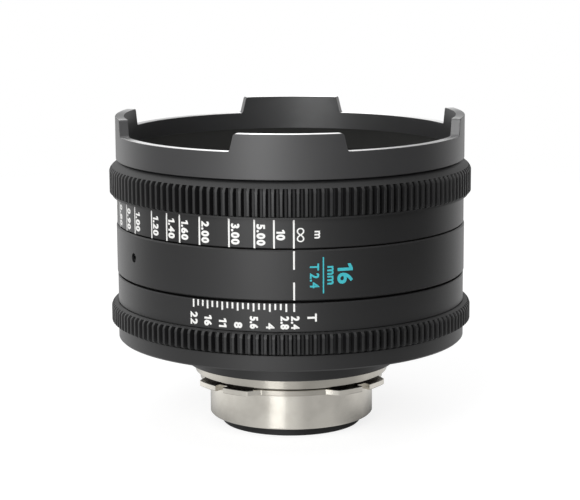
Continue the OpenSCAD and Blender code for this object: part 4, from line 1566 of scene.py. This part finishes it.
@dataclass
class Studio:
    """The pale floor, the soft light and the camera at the photograph's angle.

    The turned walls mirror the floor, so its level is given by the angle from the camera's side: under the
    lens, near it and in the rest of the room. Under the lens the level is lowered, as a painted shadow of the
    lens. The softbox's place, size and aim, and the floor's size, are in metres.
    """

    floor_height: float = -15.0
    floor_size: float = 6.0
    lens: float = 126.79
    sensor: float = 36.0
    distance: float = 665.1
    height: float = 162.1
    pitch: float = 10.219
    roll: float = -0.298
    yaw: float = -1.0
    aside: float = -0.19
    ambient: float = 0.52
    under_edge: Span = Span(36, 75)
    near_edge: Span = Span(110, 240)
    floor_white: Span = Span(120, 600, 1.58)
    floor_fade: Span = Span(120, 600, 0.5)
    upper_left: float = 1.2
    upper_right: float = 0.3
    right_end: float = 0.6
    rise_from: float = 0.22
    rise_to: float = 0.5
    zenith_from: float = 0.7
    zenith_to: float = 0.94
    zenith_gain: float = 1.1
    room_gain: float = 1.5
    box_place: tuple[float, float, float] = (-0.42, -1.15, 0.42)
    box_size: tuple[float, float] = (0.48, 1.0)
    box_power: float = 9.4
    box_aim: float = 0.035
    room: Levels = (
        (-180, 0.26), (-168, 0.3), (-163, 0.4), (-156, 0.85), (-148, 1.35), (-122, 1.2), (-98, 0.37),
        (-72, 0.5), (-50, 0.68), (-32, 0.9), (-18, 0.98), (2, 0.88), (24, 0.34), (60, 0.11), (95, 0.12),
        (120, 0.7), (148, 1.25), (156, 0.8), (163, 0.4), (168, 0.3), (180, 0.26),
    )
    near_floor: Levels = (
        (-180, 0.55), (-139, 0.66), (-132, 0.7), (-122, 0.95), (-111, 1.18), (-101, 1.25), (-84, 1.28),
        (-67, 1.0), (-50, 0.8), (-33, 0.77), (0, 0.8), (17, 0.56), (33, 0.68), (67, 0.78), (84, 1.15),
        (101, 1.0), (122, 0.85), (139, 0.7), (180, 0.55),
    )
    # Painted shadow: the floor's mirrored level close under the lens, lowered for the lens's shadow there.
    under_floor_painted_shadow: Levels = (
        (-180, 0.4), (-85, 0.34), (-74, 0.36), (-51, 0.55), (-24, 0.76), (0, 0.78), (12, 0.56), (24, 0.62),
        (40, 0.6), (53, 0.34), (74, 0.13), (110, 0.12), (180, 0.4),
    )

    def build(self) -> None:
        """Builds the stage round the lens."""
        self.lay_floor()
        self.light_world()
        self.hang_softbox()
        self.place_camera()
        bpy.context.scene.view_settings.view_transform = "Standard"

    def lay_floor(self) -> None:
        """Lays a white floor that keeps a faint shadow."""
        material = bpy.data.materials.new("paper_white_sweep")
        tree = self.empty_tree(material)
        way = add_node(tree, "TexCoord").outputs["Object"]
        path = add_node(tree, "LightPath")
        seen = path.outputs["Is Camera Ray"]
        reach = add_node(tree, "VectorMath", {0: way}, operation="LENGTH").outputs["Value"]
        out, apart, white, away = (
            add_node(
                tree,
                "MapRange",
                {
                    "Value": reach,
                    "From Min": span.near * MM,
                    "From Max": span.far * MM,
                    "To Min": span.first,
                    "To Max": span.last,
                },
            )
            for span in (self.under_edge, self.near_edge, self.floor_white, self.floor_fade)
        )
        # Painted shadow of the lens, in what gloss mirrors of the floor close under it.
        under = self.level_round(tree, way, self.under_floor_painted_shadow)
        beside = self.level_round(tree, way, self.near_floor)
        near = add_node(tree, "Mix", {0: out, 2: under, 3: beside})
        lit = add_node(tree, "Mix", {0: apart, 2: near, 3: self.level_round(tree, way, self.room)})
        level = add_node(tree, "Mix", {0: seen, 2: lit, 3: white})
        fade = add_node(tree, "Mix", {0: seen, 2: self.mirrored(tree, path), 3: away})
        paper = add_node(tree, "BsdfDiffuse", {"Color": linear("#f4f4f4")})
        glow = add_node(tree, "Emission", {"Color": linear("#ffffff"), "Strength": level})
        mixed = add_node(tree, "MixShader", {0: fade, 1: paper, 2: glow})
        add_node(tree, "OutputMaterial", {"Surface": mixed})
        sheet = bmesh.new()
        drop = Matrix.Translation((0, 0, self.floor_height * MM))
        bmesh.ops.create_grid(sheet, x_segments=1, y_segments=1, size=self.floor_size, matrix=drop)
        mesh = mesh_from(sheet, "floor")
        mesh.materials.append(material)
        floor = add_object("floor", mesh)

    def empty_tree(self, owner: bpy.types.Material | bpy.types.World) -> Tree:
        """Returns the node tree of a material or world, emptied."""
        owner.use_nodes = True
        owner.node_tree.nodes.clear()
        return owner.node_tree

    def light_world(self) -> None:
        """Lights the room: level light for matt faces, its bright and dim sides for gloss and glass."""
        world = bpy.data.worlds.new("studio")
        bpy.context.scene.world = world
        tree = self.empty_tree(world)
        way = add_node(tree, "TexCoord").outputs["Generated"]
        path = add_node(tree, "LightPath")
        room = self.whole_room(tree, way)
        level = add_node(tree, "Mix", {0: self.mirrored(tree, path), 2: self.ambient, 3: room})
        shown = add_node(tree, "Mix", {0: path.outputs["Is Camera Ray"], 2: level, 3: 1.0})
        sky = add_node(tree, "Background", {"Color": linear("#ffffff"), "Strength": shown})
        add_node(tree, "OutputWorld", {"Surface": sky})

    def whole_room(self, tree: Tree, way: Socket) -> Node:
        """Adds how bright the room is, with its upper part that is brighter on the left.

        Args:
            tree: The world's tree.
            way: The direction that is looked in.

        Returns:
            The node with the level.
        """
        axes = add_node(tree, "SeparateXYZ", {0: way})
        right = axes.outputs["X"]
        up = axes.outputs["Z"]
        sides = {"From Max": self.right_end, "To Min": self.upper_left, "To Max": self.upper_right}
        upper = add_node(tree, "MapRange", {"Value": right, **sides})
        rise = add_node(tree, "MapRange", {"Value": up, "From Min": self.rise_from, "From Max": self.rise_to})
        band = {"From Min": self.zenith_from, "From Max": self.zenith_to}
        gain = {"To Min": 1.0, "To Max": 1.0 + self.zenith_gain}
        zenith = add_node(tree, "MapRange", {"Value": up, **band, **gain})
        above = add_node(tree, "Math", {0: upper, 1: zenith}, operation="MULTIPLY")
        return add_node(tree, "Mix", {0: rise, 2: self.level_round(tree, way, self.room), 3: above})

    def mirrored(self, tree: Tree, path: Node) -> Node:
        """Adds a value that is 1 for what gloss and glass show.

        Args:
            tree: The tree of the world or the floor.
            path: Its Light Path node.

        Returns:
            The node with the value.
        """
        kinds = {0: path.outputs["Is Glossy Ray"], 1: path.outputs["Is Transmission Ray"]}
        return add_node(tree, "Math", kinds, operation="MAXIMUM")

    def level_round(self, tree: Tree, way: Socket, levels: Levels) -> Node:
        """Adds a brightness for each direction round the lens, as its turned faces mirror it.

        Args:
            tree: The tree of the world or the floor.
            way: A vector that points from the lens into the room.
            levels: Angles from the camera's side, to the right, and the brightness there.

        Returns:
            The node with the level.
        """
        axes = add_node(tree, "SeparateXYZ", {0: way})
        toward = add_node(tree, "Math", {0: axes.outputs["Y"], 1: -1.0}, operation="MULTIPLY")
        turn = add_node(tree, "Math", {0: axes.outputs["X"], 1: toward}, operation="ARCTAN2")
        share = add_node(tree, "MapRange", {"Value": turn, "From Min": -math.pi, "From Max": math.pi})
        ramp = add_node(tree, "ValToRGB", {0: share})
        stops = ramp.color_ramp.elements
        while len(stops) < len(levels):
            stops.new(0.5)
        for stop, (angle, level) in zip(stops, levels):
            stop.position = angle / 360 + 0.5
            tone = level / self.room_gain
            stop.color = (tone, tone, tone, 1)
        return add_node(tree, "Math", {0: ramp, 1: self.room_gain}, operation="MULTIPLY")

    def hang_softbox(self) -> None:
        """Hangs a softbox that faces the lens."""
        light = bpy.data.lights.new("softbox", "AREA")
        light.shape = "RECTANGLE"
        light.size, light.size_y = self.box_size
        light.energy = self.box_power
        lamp = add_object("softbox", light)
        lamp.location = self.box_place
        aim = Vector((0, 0, self.box_aim)) - lamp.location
        lamp.rotation_euler = aim.to_track_quat("-Z", "Y").to_euler()
        lamp.visible_camera = False

    def place_camera(self) -> None:
        """Places the camera where the photograph was taken from."""
        data = bpy.data.cameras.new("camera")
        data.lens = self.lens
        data.sensor_width = self.sensor
        data.clip_start = 0.01
        camera = add_object("camera", data)
        camera.matrix_world = (
            Matrix.Rotation(math.radians(self.yaw), 4, "Z")
            @ Matrix.Translation(Vector((self.aside, -self.distance, self.height)) * MM)
            @ Matrix.Rotation(math.radians(90 - self.pitch), 4, "X")
            @ Matrix.Rotation(math.radians(self.roll), 4, "Z")
        )
        bpy.context.scene.camera = camera


def dress_nodes() -> None:
    """Gives each CAD node that stays its finish."""
    for finish, names in NODE_FINISHES.items():
        for name in names:
            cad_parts[name].material_slots[0].material = finish.material()
            log.info("%s keeps its shape, in %s", name, finish.name)


def gears() -> list[Gear]:
    """Returns the focus gear, with its smooth shoulder in front, and the iris gear."""
    focus = (
        ToothLevel(61.9, 58.3, 58.3),
        ToothLevel(62.5, 58.3, 58.3),
        ToothLevel(62.5, 58.3, 57.4),
        ToothLevel(63.0, 59.2, 57.4),
        ToothLevel(69.9, 59.2, 57.4),
        ToothLevel(70.5, 59.0, 57.4),
        ToothLevel(71.0, 58.66, 57.4),
        ToothLevel(71.3, 58.38, 57.4),
        ToothLevel(71.32, 58.36, 58.36),
        ToothLevel(71.7, 57.9, 57.9),
        ToothLevel(72.5, 57.0, 57.0),
        ToothLevel(73.3, 56.1, 56.1),
    )
    iris = (
        ToothLevel(20.05, 58.3, 57.4),
        ToothLevel(20.6, 59.2, 57.4),
        ToothLevel(25.2, 59.2, 57.4),
        ToothLevel(25.8, 58.95, 57.4),
        ToothLevel(26.2, 58.6, 57.4),
        ToothLevel(26.4, 58.35, 57.4),
        ToothLevel(26.42, 58.33, 58.33),
        ToothLevel(26.9, 57.3, 57.3),
    )
    return [
        Gear(Body.FOCUS, "focus_gear_teeth", "focus_gear", focus),
        Gear(Body.IRIS, "iris_gear_teeth", "iris_gear", iris),
    ]


def bands() -> list[ScaleBand]:
    """Returns the two rings that carry scales."""
    focus = (
        Corner(53.5, 52.75),
        Corner(56.9, 52.75, 0.3),
        Corner(56.9, 61.9, 0.2),
        Corner(55.0, 61.9),
        Corner(55.0, 72.8),
        Corner(53.5, 72.8),
        Corner(53.5, 54.65),
        Corner(50.0, 54.65),
        Corner(50.0, 53.05),
        Corner(53.5, 53.05),
    )
    iris = (
        Corner(53.5, 20.05),
        Corner(55.0, 20.05),
        Corner(55.0, 26.9),
        Corner(56.9, 26.9, 0.2),
        Corner(56.9, 35.95, 0.3),
        Corner(53.5, 35.95),
    )
    return [
        ScaleBand(Body.FOCUS, "focus_band", "focus_scale_ring", focus),
        ScaleBand(Body.IRIS, "iris_band", "iris_scale_ring", iris),
    ]


def glasses() -> list[Glass]:
    """Returns the lens elements from the front to the rear."""
    return [
        Glass(Body.LENS, "front_glass", 40.0, 64.45, 68.25, 38.5, 7.0, 30.0, 5.5),
        Glass(Body.LENS, "second_glass", 34.0, 58.45, 60.95, 31.8, 3.4, 25.0, 4.5),
        Glass(Body.GROUP, "focus_front_glass", 26.0, 42.7, 45.5, 23.0, -1.1, 23.0, 0.9),
        Glass(Body.GROUP, "focus_rear_glass", 26.0, 38.2, 40.8, 23.8, 1.6, 23.8, -1.6),
        Glass(Body.LENS, "doublet_front_glass", 19.0, 4.5, 8.5, 17.0, 2.0, 17.0, -1.98),
        Glass(Body.LENS, "doublet_rear_glass", 19.0, 0.5, 4.5, 17.0, -2.0, 17.0, 1.0),
        Glass(Body.LENS, "rear_glass", 19.0, -7.5, -2.5, 17.0, 1.6, 17.0, -1.2),
    ]


def main() -> None:
    """Builds the lens's looks, in order from the front to the mount, then the studio."""
    logging.basicConfig(level=logging.INFO, format="%(name)s: %(message)s")
    dress_nodes()
    builders = [Hood(), HoodBaffle(), *gears(), *bands(), MiddleBarrel(), RearHousing(), RearMount()]
    builders += [*glasses(), FocusScale(), IrisScale(), BarrelMarks(), Studio()]
    for builder in builders:
        builder.build()


if __name__ == "__main__":
    main()
